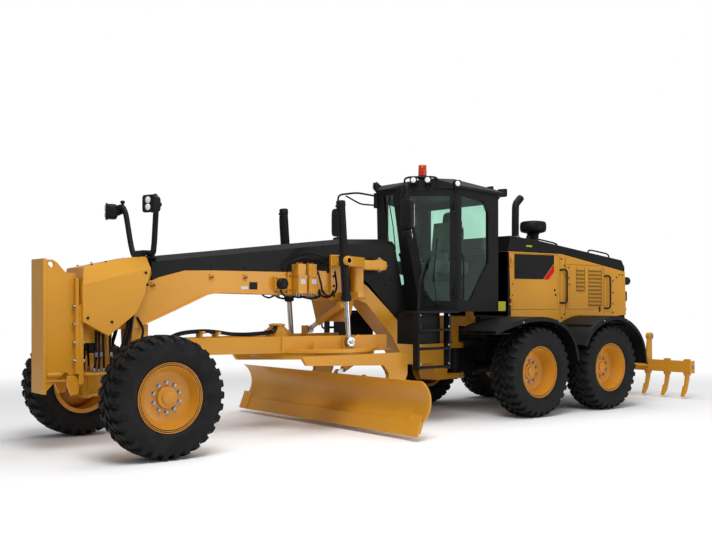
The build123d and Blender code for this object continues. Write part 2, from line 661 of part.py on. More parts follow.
def blade_bracket():
    """The tipping bracket behind the blade: a cross shaft, two jaw plates and the cylinder's horn."""
    x, z = TIP_PIVOT
    shape = bar((x, -(ARM_Y + ARM_T / 2 + 8), z), (x, ARM_Y + ARM_T / 2 + 8, z), 35)
    shape += bar((x, -(ARM_Y - ARM_T / 2 - GAP), z), (x, ARM_Y - ARM_T / 2 - GAP, z), 60)
    seat = RAIL_BACK - LAP
    jaw = [(x - 50, z - 60), (-2925, 180), (seat, 210), (seat, 270), (-2960, 330), (-2960, 500),
           (seat, 550), (seat, 612), (-2960, 640), (-3010, 600), (x - 50, z + 50)]
    for y in (-540, 500):
        shape += prism("y", jaw, y, y + 40)
    shape += bar((-2990, -520, 560), (-2990, 520, 560), 34)
    horn = [(-3010, 540), (-2960, 540), (-2930, 640), (-2965, 675), (-3000, 640)]
    shape += prism("y", horn, -60, -26)
    return shape


def blade_front():
    """The space in front of the blade's face."""
    outline = [ThreePointArc(BLADE_TOP, BLADE_BELLY, BLADE_FOOT), Line(BLADE_FOOT, (-2300, BLADE_FOOT[1])),
               Line((-2300, BLADE_FOOT[1]), (-2300, BLADE_TOP[1])), Line((-2300, BLADE_TOP[1]), BLADE_TOP)]
    face = Plane.XZ.offset(BLADE_HALF) * make_face(outline)
    return extrude(face, amount=2 * BLADE_HALF, dir=(0, 1, 0))


def moldboard():
    """The curved blade with the slide rails on its back."""
    foot_low = along(BLADE_FOOT, BLADE_TOE, EDGE_SEAT)
    behind = Vector(-BLADE_T, 0)
    front = [ThreePointArc(BLADE_TOP, BLADE_BELLY, BLADE_FOOT), Line(BLADE_FOOT, foot_low)]
    back = [Line(Vector(*foot_low) + behind, Vector(*BLADE_FOOT) + behind),
            ThreePointArc(Vector(*BLADE_FOOT) + behind, Vector(*BLADE_BELLY) + behind, Vector(*BLADE_TOP) + behind)]
    ends = [Line(foot_low, Vector(*foot_low) + behind), Line(Vector(*BLADE_TOP) + behind, BLADE_TOP)]
    face = Plane.XZ.offset(BLADE_HALF) * make_face(front + back + ends)
    shape = extrude(face, amount=2 * BLADE_HALF, dir=(0, 1, 0))
    for z in (580, 240):
        rail = box((RAIL_BACK, BLADE_BELLY[0] + 10), (-BLADE_HALF + 250, BLADE_HALF - 250), (z - 25, z + 25))
        rail += box((RAIL_BACK, -2735), (-BLADE_HALF + 250, BLADE_HALF - 250), (z - 8, z + 8))
        shape += rail - blade_front()
    return shape


def cutting_edge():
    """The bolted edge strip along the blade's foot, with an end bit at each corner."""
    run = (Vector(*BLADE_TOE) - Vector(*BLADE_FOOT)).normalized()
    ahead = Vector(-run.Y, run.X) * EDGE_T
    strip = [Vector(*BLADE_FOOT), Vector(*BLADE_TOE), Vector(*BLADE_TOE) + ahead, Vector(*BLADE_FOOT) + ahead]
    shape = prism("y", [(corner.X, corner.Y) for corner in strip], -BLADE_HALF, BLADE_HALF)
    front = Vector(*BLADE_FOOT) + ahead
    rise = Vector(-run.Y, run.X) * EDGE_T - run * 80
    toe = Vector(*BLADE_TOE) + ahead
    bit = [front, toe, toe + ahead, front + rise]
    return shape + both(prism("y", [(corner.X, corner.Y) for corner in bit], BLADE_HALF - END_BIT, BLADE_HALF))


# Cylinders
LIFT_BARREL_R = 52
LIFT_ROD_R = 32
LIFT_GLAND = 485
LIFT_TAIL = 715


def lift_barrel():
    """The left lift cylinder's barrel on its trunnion."""
    base = (LIFT_TRUNNION[0], LIFT_Y, LIFT_TRUNNION[1])
    eye = (LIFT_EYE[0], LIFT_Y, LIFT_EYE[1])
    top = along(base, eye, -LIFT_TAIL)
    foot = along(base, eye, LIFT_GLAND)
    shape = bar(top, foot, LIFT_BARREL_R)
    shape += bar((base[0], LIFT_Y - 51.7, base[2]), (base[0], LIFT_Y, base[2]), 70)
    return shape - bar(along(base, eye, -LIFT_TAIL + 30), along(base, eye, LIFT_GLAND + 5), LIFT_ROD_R + 0.5)


def lift_rod():
    """The left lift cylinder's rod with its eye beside the drawbar's stud."""
    base = (LIFT_TRUNNION[0], LIFT_Y, LIFT_TRUNNION[1])
    eye = (LIFT_EYE[0], LIFT_Y, LIFT_EYE[1])
    reach = (Vector(*eye) - Vector(*base)).length
    shape = bar(along(base, eye, reach - 1150), eye, LIFT_ROD_R)
    return shape + bar((eye[0], LIFT_Y - 44.7, eye[2]), (eye[0], LIFT_Y + 45, eye[2]), 55)


def shift_barrel():
    """The centre-shift cylinder's barrel, hung on the link bar."""
    base = (SHIFT_X, *SHIFT_BASE)
    eye = (SHIFT_X, *SHIFT_EYE)
    shape = bar(base, along(base, eye, SHIFT_BARREL), 45)
    shape += bar((SHIFT_X - 39, *SHIFT_BASE), (SHIFT_X + 39, *SHIFT_BASE), 48)
    shape -= bar((SHIFT_X - 60, *SHIFT_BASE), (SHIFT_X + 60, *SHIFT_BASE), 26 + FIT)
    return shape - bar(along(base, eye, 52), along(base, eye, SHIFT_BARREL + 5), 28.5)


def shift_rod():
    """The centre-shift cylinder's rod, its eye beside the lug on the drawbar's right beam."""
    base = (SHIFT_X, *SHIFT_BASE)
    eye = (SHIFT_X, *SHIFT_EYE)
    shape = bar(along(base, eye, SHIFT_ROD_FROM), eye, 28)
    return shape + bar((SHIFT_X - 35, *SHIFT_EYE), (SHIFT_X + 35, *SHIFT_EYE), 48)


def tip_barrel():
    """The blade-tip cylinder's barrel between its ears on the circle."""
    base = (TIP_BASE[0], 0, TIP_BASE[1])
    eye = (TIP_EYE[0], 0, TIP_EYE[1])
    shape = bar(along(base, eye, 75), along(base, eye, 355), 42) + bar((base[0], -31.7, base[2]), (base[0], 31.7, base[2]), 40)
    shape += bar(base, along(base, eye, 80), 28)
    shape -= bar((base[0], -60, base[2]), (base[0], 60, base[2]), 20 + FIT)
    return shape - bar(along(base, eye, 85), along(base, eye, 360), 24.5)


def tip_rod():
    """The blade-tip cylinder's rod with its eye beside the horn."""
    base = (TIP_BASE[0], 0, TIP_BASE[1])
    eye = (TIP_EYE[0], 0, TIP_EYE[1])
    shape = bar(along(base, eye, 120), eye, 24)
    return shape + bar((eye[0], -25.7, eye[2]), (eye[0], 30, eye[2]), 36)


# Rear frame
def rear_frame():
    """Two rails with cross members, the hitch tongue, and the rear bumper."""
    rail = box((REAR_X + 50, HITCH_X - 250), (RAIL_Y - 60, RAIL_Y + 60), RAIL_Z)
    shape = both(rail)
    for x in (HITCH_X - 330, -6950, REAR_X + 50):
        shape += box((x, x + 80), (-RAIL_Y, RAIL_Y), RAIL_Z)
    shape += box((-WHEELBASE - 100, -WHEELBASE + 100), (-RAIL_Y, RAIL_Y), (TYRE_R - 40, RAIL_Z[0] + 60))
    low, high = HITCH_LOW[1] + GAP, HITCH_HIGH[0] - GAP
    shape += box((HITCH_X - 330, HITCH_X), (-85, 85), (low, high)) + bar((HITCH_X, 0, low), (HITCH_X, 0, high), 115)
    shape += bar((HITCH_X, 0, HITCH_LOW[0] - 20), (HITCH_X, 0, HITCH_HIGH[1] + 20), HITCH_PIN_R)
    hub = TANDEM_IN - 20
    shape += bar((-WHEELBASE, -hub, TYRE_R), (-WHEELBASE, hub, TYRE_R), 120)
    shape += box((REAR_X, REAR_X + 60), (-590, 590), (620, HOOD_FOOT))
    shape += box((-5490, -5430), (-590, 590), (RAIL_Z[1] - 10, HOOD_FOOT))
    for low, high in ((314, 354), (406, 446)):
        lug = [(REAR_X + 5, 560), (REAR_X - 60, 560), (REAR_X - 130, 600), (REAR_X - 130, 680),
               (REAR_X - 60, 1080), (REAR_X + 5, 1080)]
        shape += both(prism("y", lug, low, high))
    shape += both(bar((RIPPER_PIVOT[0], 314, RIPPER_PIVOT[1]), (RIPPER_PIVOT[0], 446, RIPPER_PIVOT[1]), 32))
    return shape


def engine():
    """The engine as one plain block."""
    return box((-7300, -5750), (-RAIL_Y - 40, RAIL_Y + 40), (RAIL_Z[1], 1900))


HOOD_DOORS = ((-6490, 1420, -5490, 2210), (-7550, 1420, -6700, 2080))
HOOD_SIDE = [(-5430, HOOD_FOOT), (-5430, 2275), (-6570, 2275), (-8020, 2065), (-8110, 2050),
             (-8140, HOOD_FOOT), (-8090, HOOD_FOOT), (-6530, 1230), (-5490, HOOD_FOOT)]
HOOD_INSIDE = [(-5460, 1300), (-5460, 2300), (-6570, 2300), (-8020, 2100), (-8080, 2090), (-8110, 1300),
               (-6530, 1200)]
CAP_SIDE = [(-5430, 2275), (-5480, 2495), (-6070, 2450), (-8030, 2230), (-8110, 2120), (-8110, 2050),
            (-8020, 2065), (-6570, 2275)]
CAP_INSIDE = [(-5470, 2200), (-5510, 2460), (-6070, 2415), (-8010, 2200), (-8050, 2000)]
GRILLES = ((-7110, 1690, -6920, 2040), (-7510, 1470, -7210, 2040))
SLAT = 26


def hood_plane():
    """The engine house's right side: x rearward, y up, z inward."""
    return Plane(origin=(0, -HOOD_HALF, 0), x_dir=(-1, 0, 0), z_dir=(0, 1, 0))


def hood():
    """The engine house's side panels, posts and rear wall, open below and above, with door openings."""
    shape = prism("y", HOOD_SIDE, -HOOD_HALF, HOOD_HALF)
    shape -= prism("y", HOOD_INSIDE, -HOOD_HALF + HOOD_SKIN, HOOD_HALF - HOOD_SKIN)
    for x0, z0, x1, z1 in HOOD_DOORS:
        shape -= box((x0, x1), (-HOOD_HALF - 5, HOOD_HALF + 5), (z0, z1))
        shape += both(hinge_fixed(hood_plane(), -x1, (z0 + 120, z1 - 120)))
    return shape


def hood_door(index):
    """One left-hand door of the engine house."""
    x0, z0, x1, z1 = HOOD_DOORS[index]
    panel = box((x0 + 5, x1 - 5), (HOOD_HALF - HOOD_SKIN + 2, HOOD_HALF - 2), (z0 + 5, z1 - 5))
    return panel + right(hinge_moving(hood_plane(), -x1, (z0 + 120, z1 - 120)))


def grille_door():
    """The left-hand rear door, with air slots between slats."""
    shape = hood_door(1)
    for x0, z0, x1, z1 in GRILLES:
        rows = int((z1 - z0) / (2 * SLAT))
        for row in range(rows):
            foot = z0 + row * (z1 - z0) / rows
            shape -= box((x0, x1), (HOOD_HALF - 2 * HOOD_SKIN, HOOD_HALF + 5), (foot, foot + SLAT))
    return shape


def hood_cap():
    """The black top of the engine house."""
    shape = prism("y", CAP_SIDE, -HOOD_HALF, HOOD_HALF)
    return shape - prism("y", CAP_INSIDE, -HOOD_HALF + HOOD_SKIN, HOOD_HALF - HOOD_SKIN)


def fenders():
    """The curved mudguards over the tandem wheels, a tread plate, and the side plate that carries them."""
    plate = HOOD_HALF + FENDER_T
    inner = HOOD_HALF + FENDER_T / 2
    outer = TRACK_HALF + TYRE_W / 2
    shape = box((BACK_X - 515, FRONT_X + 460), (HOOD_HALF, plate), (1180, 1385))
    for x in (FRONT_X, BACK_X):
        place = Pos(x, (inner + outer) / 2, TYRE_R) * Rot(90, 0, 0)
        ring = place * (Cylinder(FENDER_R, outer - inner) - Cylinder(FENDER_R - FENDER_T, 2 * outer))
        top = TYRE_R + FENDER_R
        shape += ring & box((x - FENDER_R, x + FENDER_R), (inner, outer), (FENDER_FOOT, top))
    return pair(shape + box((FRONT_X + 360, FRONT_X + 660), (outer - 420, outer), (1140, 1160)))


def tandems():
    """The tandem drive cases with their wheel spindles."""
    reach = TANDEM_HALF + TANDEM_END
    outer = TRACK_HALF - TYRE_W / 2 - 20
    case = box((-WHEELBASE - reach, -WHEELBASE + reach), (TANDEM_IN, outer), TANDEM_Z)
    for x in (-WHEELBASE - reach, -WHEELBASE + reach):
        case += bar((x, TANDEM_IN, TYRE_R), (x, outer, TYRE_R), (TANDEM_Z[1] - TANDEM_Z[0]) / 2)
    case += bar((-WHEELBASE, TANDEM_IN - 20, TYRE_R), (-WHEELBASE, TANDEM_IN + 40, TYRE_R), 180)
    for x in (BACK_X, FRONT_X):
        inner = (x, outer - 40, TYRE_R)
        case += bar(inner, (x, TRACK_HALF + REAR_HUB + REAR_BORE - 10, TYRE_R), SPINDLE_R)
        case += bar(inner, (x, TRACK_HALF + REAR_HUB - 8, TYRE_R), 90)
    return pair(case)


def stacks():
    """The exhaust and the air precleaner on the engine house."""
    exhaust = bar((-6500, -250, 2300), (-6500, -250, 3180), 62) - bar((-6500, -250, 2500), (-6500, -250, 3200), 55)
    cleaner = bar((-6770, -100, 2300), (-6770, -100, 2680), 80) + bar((-6770, -100, 2670), (-6770, -100, 2850), 190)
    cap = prism("y", CAP_SIDE, -HOOD_HALF, HOOD_HALF)
    return group(exhaust - cap, cleaner - cap)


def ripper():
    """The rear ripper: swinging arms, beam and seven shanks."""
    x, z = RIPPER_PIVOT
    shape = box((RIPPER_BEAM_X - 60, RIPPER_BEAM_X + 60), (-1150, 1150), (410, 590))
    for y in (-400, 360):
        arm = [(x + 45, z - 45), (x + 45, z + 45), (RIPPER_BEAM_X + 80, 700), (RIPPER_BEAM_X + 40, 1010),
               (RIPPER_BEAM_X - 40, 1010), (RIPPER_BEAM_X - 50, 500), (RIPPER_BEAM_X + 30, 470)]
        shape += prism("y", arm, y, y + 40)
    shape -= both(bar((x, 340, z), (x, 460, z), 32 + FIT))
    shank = [(-35, 620), (35, 620), (35, 330), (75, 150), (130, 45), (115, 35), (30, 120), (-35, 310)]
    for index in range(7):
        y = 355 * (index - 3)
        shape += prism("y", [(RIPPER_BEAM_X + u, v) for u, v in shank], y - 22, y + 22)
    return shape


def export(name, shape):
    shape = Pos(AXLE_AHEAD, 0, 0) * shape
    shape.label = name
    export_step(shape, f"parts/{name}.step")


os.makedirs("parts", exist_ok=True)
SHELL = cab_shell()
TYRE = tyre()
FRONT_RIM = rim(FRONT_HUB, FRONT_BORE)
REAR_RIM = rim(REAR_HUB, REAR_BORE)
NODES = {
    "front_frame": front_frame(),
    "beam_shroud": beam_shroud(),
    "nose_cover": nose_cover(),
    "push_block": push_block(),
    "cab_shell": SHELL,
    "cab_windows": cab_windows(),
    "cab_interior": cab_interior(),
    "access_steps": access_steps(),
    "lift_saddle": lift_saddle(),
    "valve_banks": valve_banks(),
    "lamps": group(lamps(), roof_lamps()),
    "mirrors": mirrors(),
    "front_axle": front_axle(),
    "lean_frame_left": lean_frame(),
    "lean_frame_right": right(lean_frame()),
    "lean_bar": lean_bar(),
    "knuckle_left": knuckle(),
    "knuckle_right": right(knuckle()),
    "tie_rod_end": tie_rod_end(),
    "tie_rod": tie_rod(),
    "cab_door_left": cab_door(),
    "cab_door_right": right(cab_door()),
    "cab_door_glass_left": cab_door_glass(),
    "cab_door_glass_right": right(cab_door_glass()),
    "drawbar": drawbar(),
    "circle": circle(),
    "pinion": pinion(),
    "blade_bracket": blade_bracket(),
    "moldboard": moldboard(),
    "cutting_edge": cutting_edge(),
    "lift_barrels": pair(lift_barrel()),
    "lift_rods": pair(lift_rod()),
    "shift_barrel": shift_barrel(),
    "shift_rod": shift_rod(),
    "tip_barrel": tip_barrel(),
    "tip_rod": tip_rod(),
    "rear_frame": rear_frame(),
    "engine": engine(),
    "hood": hood(),
    "hood_cap": hood_cap(),
    "fenders": fenders(),
    "tandems": tandems(),
    "stacks": stacks(),
    "ripper": ripper(),
    "hood_door_left": hood_door(0),
    "hood_door_right": right(hood_door(0)),
    "grille_door_left": grille_door(),
    "grille_door_right": right(grille_door()),
}
for place, x, wheel in (("front", 0, FRONT_RIM), ("mid", FRONT_X, REAR_RIM), ("rear", BACK_X, REAR_RIM)):
    NODES[f"{place}_tyre_left"] = at_wheel(x, TYRE)
    NODES[f"{place}_tyre_right"] = right(at_wheel(x, TYRE))
    NODES[f"{place}_rim_left"] = at_wheel(x, wheel)
    NODES[f"{place}_rim_right"] = right(at_wheel(x, wheel))
for name, shape in NODES.items():
    export(name, shape)
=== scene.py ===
# Looks of the motor grader: finishes, detailed pieces, studio and camera.
# Lengths are metres. X runs forward, Y to the machine's left and Z up. Places are measured
# from the front axle, as the machine's drawings are, and at() carries them to the origin.
# A piece is one or more closed shells; a shell is (points, quads, end caps).
import json
import math

import bmesh
import bpy
import numpy as np
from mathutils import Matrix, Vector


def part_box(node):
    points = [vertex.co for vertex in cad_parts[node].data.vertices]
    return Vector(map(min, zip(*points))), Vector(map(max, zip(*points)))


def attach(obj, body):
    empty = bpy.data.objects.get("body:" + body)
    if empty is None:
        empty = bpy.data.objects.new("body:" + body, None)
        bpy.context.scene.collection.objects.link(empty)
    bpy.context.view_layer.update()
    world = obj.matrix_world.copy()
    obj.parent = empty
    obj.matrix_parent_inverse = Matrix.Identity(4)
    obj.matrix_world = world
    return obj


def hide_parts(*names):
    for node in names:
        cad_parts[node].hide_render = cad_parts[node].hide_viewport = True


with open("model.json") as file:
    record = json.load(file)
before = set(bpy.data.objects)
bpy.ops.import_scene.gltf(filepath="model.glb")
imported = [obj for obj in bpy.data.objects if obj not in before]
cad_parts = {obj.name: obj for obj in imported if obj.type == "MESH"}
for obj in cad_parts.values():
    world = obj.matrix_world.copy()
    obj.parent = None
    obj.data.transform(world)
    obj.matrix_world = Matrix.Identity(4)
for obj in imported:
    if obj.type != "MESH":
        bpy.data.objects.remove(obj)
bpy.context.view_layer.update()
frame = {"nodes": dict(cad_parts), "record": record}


def middle(node):
    """The middle of a node's box."""
    low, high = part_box(node)
    return np.array((low + high) / 2)


AXLE_X = middle("front_tyre_left")[0]


def at(x, y, z):
    """A place given from the front axle, in the frame's own coordinates."""
    return np.array([AXLE_X + x, y, z], float)


def route(*points):
    """Places given from the front axle, as an array."""
    return np.array(points, float) + (AXLE_X, 0, 0)


# Camera of the photograph
PHOTO_WIDTH = 712
PHOTO_HEIGHT = 534
CAMERA_PLACE = at(4.057, 9.161, 1.493)
CAMERA_YAW = math.radians(-128.558)
FOCAL_PIXELS = 915.0
HORIZON_ROW = 304.4
SENSOR = 36.0


class Signal:
    """A value on its way through a finish. Arithmetic on it adds Math nodes."""

    def __init__(self, finish, socket):
        self.finish = finish
        self.socket = socket

    def math(self, operation, *others):
        values = dict(enumerate((self, *others)))
        return self.finish.node("ShaderNodeMath", {"operation": operation}, values)

    def __add__(self, other):
        return self.math("ADD", other)

    def __sub__(self, other):
        return self.math("SUBTRACT", other)

    def __mul__(self, other):
        return self.math("MULTIPLY", other)

    __radd__ = __add__
    __rmul__ = __mul__

    def step(self, low, high, start=0.0, end=1.0):
        """A smooth rise from start to end as the value goes from low to high."""
        settings = {"interpolation_type": "SMOOTHSTEP"}
        values = {"Value": self, "From Min": low, "From Max": high, "To Min": start, "To Max": end}
        return self.finish.node("ShaderNodeMapRange", settings, values)

    def part(self, axis):
        """One coordinate of a vector, by its letter."""
        return self.finish.node("ShaderNodeSeparateXYZ", {}, {"Vector": self}, axis)


class Finish:
    """A material while its nodes are put together."""

    def __init__(self, name):
        self.material = bpy.data.materials.new(name)
        self.material.use_nodes = True
        self.tree = self.material.node_tree
        self.tree.nodes.clear()
        self.place = self.node("ShaderNodeTexCoord", {}, {}, "Object")

    def node(self, kind, settings, values, output=0):
        """Adds a node: its type, its settings first, then the values or links of its sockets."""
        made = self.tree.nodes.new(kind)
        for name, value in settings.items():
            setattr(made, name, value)
        for name, value in values.items():
            if isinstance(value, Signal):
                self.tree.links.new(value.socket, made.inputs[name])
            else:
                made.inputs[name].default_value = value
        return None if output is None else Signal(self, made.outputs[output])

    def noise(self, size, detail=3.0, stretch=(1.0, 1.0, 1.0), rough=0.5):
        """Cloudy noise about a half, whose lumps are size metres across."""
        scale = tuple(side / size for side in stretch)
        place = self.node("ShaderNodeMapping", {}, {"Vector": self.place, "Scale": scale})
        values = {"Vector": place, "Scale": 1.0, "Detail": detail, "Roughness": rough}
        return self.node("ShaderNodeTexNoise", {}, values, "Fac")

    def tint(self, factor, low, high):
        """The colour that goes from low to high with the factor."""
        values = {0: factor, 6: low, 7: high}
        return self.node("ShaderNodeMix", {"data_type": "RGBA"}, values, 2)

    def bump(self, height, depth):
        """The normal of a surface whose height, from 0 to 1, is depth metres."""
        values = {"Height": height, "Distance": depth, "Strength": 1.0}
        return self.node("ShaderNodeBump", {}, values, "Normal")

    def shade(self, values):
        """The Principled shader of this finish, as the material's surface."""
        return self.close(self.node("ShaderNodeBsdfPrincipled", {}, values, "BSDF"))

    def close(self, surface):
        """The finished material, with this shader as its surface."""
        self.node("ShaderNodeOutputMaterial", {}, {"Surface": surface}, None)
        return self.material


def paint(red, green, blue):
    """A colour given as it looks on screen, 0 to 255, as the shader's linear values."""
    seen = np.array([red, green, blue]) / 255
    linear = np.where(seen <= 0.04045, seen / 12.92, ((seen + 0.055) / 1.055) ** 2.4)
    return (*linear.tolist(), 1.0)


def enamel(name, light, dark, roughness, coat, shine=0.35):
    """Sprayed enamel: a slow drift of its colour, dust in its low places and orange peel."""
    finish = Finish(name)
    drift = finish.noise(0.9, 4.0)
    dust = finish.noise(0.06, 5.0).step(0.5, 0.8)
    peel = finish.noise(0.006, 2.0)
    values = {
        "Base Color": finish.tint(drift.step(0.3, 0.7), dark, light),
        "Roughness": roughness + dust * 0.09 + (drift - 0.5) * 0.08,
        "Coat Weight": coat,
        "Coat Roughness": 0.12,
        "Specular IOR Level": shine,
        "Normal": finish.bump(peel, 0.00012),
    }
    return finish.shade(values)


def rubber(name, light, dark):
    """Tyre rubber: matt, with fine grain and paler dust in patches."""
    finish = Finish(name)
    patches = finish.noise(0.11, 5.0).step(0.4, 0.72)
    grain = finish.noise(0.004, 3.0)
    values = {
        "Base Color": finish.tint(patches, dark, light),
        "Roughness": 0.62 + patches * 0.2,
        "Specular IOR Level": 0.18,
        "Normal": finish.bump(grain, 0.0005),
    }
    return finish.shade(values)


def metal(name, light, dark, low, high, grain=(1.0, 1.0, 1.0)):
    """Bare or plated metal, brushed along its grain."""
    finish = Finish(name)
    brush = finish.noise(0.02, 4.0, grain)
    values = {
        "Base Color": finish.tint(brush.step(0.35, 0.65), dark, light),
        "Metallic": 1.0,
        "Roughness": brush.step(0.3, 0.7, low, high),
        "Normal": finish.bump(brush, 0.0002),
    }
    return finish.shade(values)


def moulded(name, light, dark, roughness):
    """Moulded plastic or lining with a leather grain."""
    finish = Finish(name)
    scale = {"Vector": finish.place, "Scale": 420.0}
    grain = finish.node("ShaderNodeTexVoronoi", {}, scale, "Distance")
    drift = finish.noise(0.2, 3.0)
    values = {
        "Base Color": finish.tint(drift.step(0.3, 0.7), dark, light),
        "Roughness": roughness + (grain - 0.5) * 0.15,
        "Normal": finish.bump(grain, 0.0004),
    }
    return finish.shade(values)


def glazing(name, light, dark):
    """Tinted window glass: light passes and takes the tint at each face of the pane."""
    finish = Finish(name)
    streaks = finish.noise(0.3, 4.0, (1.0, 1.0, 0.4))
    values = {
        "Base Color": finish.tint(streaks.step(0.3, 0.7), dark, light),
        "Roughness": streaks.step(0.3, 0.8, 0.0, 0.02),
        "Transmission Weight": 1.0,
        "IOR": 1.45,
    }
    return finish.shade(values)


def lens(name, light, dark):
    """A moulded lens: glossy, with fine upright ribs."""
    finish = Finish(name)
    across = finish.place.part("X") + finish.place.part("Y")
    ribs = (across * 900.0).math("SINE").step(-1.0, 1.0)
    values = {
        "Base Color": finish.tint(ribs, dark, light),
        "Roughness": 0.16 + ribs * 0.08,
        "Coat Weight": 0.2,
        "Normal": finish.bump(ribs, 0.0006),
    }
    return finish.shade(values)


YELLOW = enamel("yellow_enamel", paint(208, 147, 40), paint(200, 139, 35), 0.38, 0.15)
BLACK = enamel("black_enamel", paint(24, 24, 25), paint(18, 18, 19), 0.5, 0.02, 0.16)
RIM = enamel("rim_enamel", paint(204, 140, 38), paint(192, 128, 32), 0.4, 0.15)
TYRE = rubber("tyre_rubber", paint(34, 33, 34), paint(19, 18, 19))
HOSE = rubber("hose_rubber", paint(24, 24, 25), paint(12, 12, 13))
CHROME = metal("rod_chrome", paint(222, 224, 226), paint(204, 206, 208), 0.08, 0.16)
STEEL = metal("bolt_steel", paint(176, 180, 188), paint(140, 146, 156), 0.26, 0.4)
IRON = enamel("engine_iron", paint(52, 50, 47), paint(38, 37, 35), 0.6, 0.0)
TRIM = moulded("cab_trim", paint(84, 98, 94), paint(62, 74, 71), 0.6)
CLOTH = moulded("seat_cloth", paint(30, 33, 33), paint(20, 22, 22), 0.75)
GLASS = glazing("cab_glass", paint(212, 241, 229), paint(203, 236, 221))
LAMP = lens("lamp_lens", paint(250, 250, 246), paint(214, 216, 214))
LABEL = enamel("blank_label", paint(196, 204, 206), paint(184, 192, 196), 0.5, 0.1)
AMBER = lens("beacon_lens", paint(222, 62, 16), paint(180, 38, 10))
RED = enamel("red_stripe", paint(200, 14, 20), paint(184, 10, 16), 0.4, 0.05, 0.2)
# The grille's yellow darkened: painted shade for the shade that falls on the rear door and in its louvres
GRILLE_SHADED_YELLOW = enamel("grille_yellow_painted_shade", paint(150, 112, 36), paint(128, 94, 28), 0.5, 0.05, 0.25)
PALE = enamel("plate_yellow", paint(176, 172, 30), paint(164, 160, 24), 0.5, 0.1)

FINISH_OF_SLOT = {
    "yellow_paint": YELLOW,
    "black_paint": BLACK,
    "rim_paint": RIM,
    "tyre_rubber": TYRE,
    "cab_glass": GLASS,
    "rod_chrome": CHROME,
    "wear_steel": YELLOW,
    "interior_trim": TRIM,
    "engine_iron": IRON,
}
SLOT_OF_FINISH = {finish.name: slot for slot, finish in FINISH_OF_SLOT.items() if slot != "wear_steel"}
for slot, finishes in (
    ("yellow_paint", (LABEL, RED, GRILLE_SHADED_YELLOW, PALE)),
    ("tyre_rubber", (HOSE,)),
    ("rod_chrome", (STEEL, LAMP)),
    ("cab_glass", (AMBER,)),
    ("interior_trim", (CLOTH,)),
):
    SLOT_OF_FINISH.update({finish.name: slot for finish in finishes})
NODE_BODY = {
    node: body for body, nodes in frame["record"]["behaviour"]["bodies"].items() for node in nodes
}
NODE_SLOT = {entry["node"]: entry["material_slot"] for entry in frame["record"]["subparts"]}
EDGE_WIDTH = {
    "nose_cover": 0.012,
    "push_block": 0.006,
    "beam_shroud": 0.008,
    "front_frame": 0.005,
    "hood": 0.006,
    "hood_cap": 0.014,
    "hood_door_left": 0.003,
    "hood_door_right": 0.003,
    "cab_shell": 0.006,
    "cab_door_left": 0.006,
    "cab_door_right": 0.006,
    "drawbar": 0.006,
    "lift_saddle": 0.005,
    "ripper": 0.008,
    "tandems": 0.012,
    "rear_frame": 0.008,
    "front_axle": 0.006,
    "lean_frame_left": 0.005,
    "lean_frame_right": 0.005,
    "moldboard": 0.003,
    "cutting_edge": 0.003,
    "access_steps": 0.004,
}


# What the photograph shows lower than the drawings: the line (x, z) above which a node's copy
# is lowered, by how much, and how far its height above the line is squeezed.
ROOF_CHANGE = ([(-5.15, 2.84), (-4.5, 2.93)], 0.0, 0.6)
LOWERED = {
    "push_block": ([(0, 1.85)], 0.05, 1.0),
    "nose_cover": ([(0, 1.9)], 0.05, 1.0),
    "beam_shroud": ([(-3.9, 2.3), (-3.3, 1.76)], 0.05, 1.0),
    "front_frame": ([(-3.2, 2.5), (-3.05, 1.5), (-0.17, 1.27), (-0.155, 2.5)], 0.05, 1.0),
    "hood_cap": ([(0, 1.9)], 0.05, 1.0),
    "hood": ([(-8.11, 2.03), (-8.02, 2.045), (-6.57, 2.255)], 0.05, 1.0),
    "cab_shell": ROOF_CHANGE,
    "cab_door_left": ROOF_CHANGE,
    "cab_door_right": ROOF_CHANGE,
}
NOSE_EDGE_HEIGHT = 1.78
NOSE_EDGE = [(-0.28, 1.87), (0.47, 1.7)]


def lowered(name, points):
    """A node's points after the change of its row, and the nose's side edge tilted to NOSE_EDGE."""
    line, drop, squeeze = LOWERED[name]
    x, z = points[:, 0] - AXLE_X, points[:, 2]
    floor = np.interp(x, *np.array(line).T)
    shift = np.where(z > floor, (squeeze - 1) * (z - floor) - drop, 0.0)
    if name == "nose_cover":
        corner = (np.abs(z - NOSE_EDGE_HEIGHT) < 0.03) & (np.abs(points[:, 1]) > 0.2)
        shift = np.where(corner, np.interp(x, *np.array(NOSE_EDGE).T) - z, shift)
    return points + shift[:, None] * (0, 0, 1)


def dress_nodes():
    """Gives each CAD node the finish of its slot in the record."""
    for name, slot in NODE_SLOT.items():
        node = frame["nodes"][name]
        node.data.materials.clear()
        node.data.materials.append(FINISH_OF_SLOT[slot])


def soften_edges():
    """Puts a copy with rounded edges in place of each plate-work node: its triangles are joined
    along flat faces, and every edge sharper than 30 degrees is bevelled by its width."""
    for name, width in EDGE_WIDTH.items():
        form = bmesh.new()
        form.from_mesh(frame["nodes"][name].data)
        bmesh.ops.remove_doubles(form, verts=form.verts, dist=2e-5)
        bmesh.ops.dissolve_limit(form, angle_limit=math.radians(0.6), verts=form.verts, edges=form.edges)
        mesh = bpy.data.meshes.new(f"{name}_rounded")
        form.to_mesh(mesh)
        form.free()
        if name in LOWERED:
            points = np.array([corner.co for corner in mesh.vertices])
            mesh.vertices.foreach_set("co", lowered(name, points).ravel())
        mesh.shade_smooth()
        mesh.set_sharp_from_angle(angle=math.radians(30))
        mesh.materials.append(FINISH_OF_SLOT[NODE_SLOT[name]])
        rounded = bpy.data.objects.new(f"{name}_rounded", mesh)
        bpy.context.scene.collection.objects.link(rounded)
        edge = rounded.modifiers.new("edges", "BEVEL")
        edge.width = width
        edge.segments = 2
        edge.limit_method = "ANGLE"
        edge.angle_limit = math.radians(30)
        edge.harden_normals = True
        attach(rounded, NODE_BODY[name])
        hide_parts(name)


# Shells
SIDES = ((1, "left"), (-1, "right"))


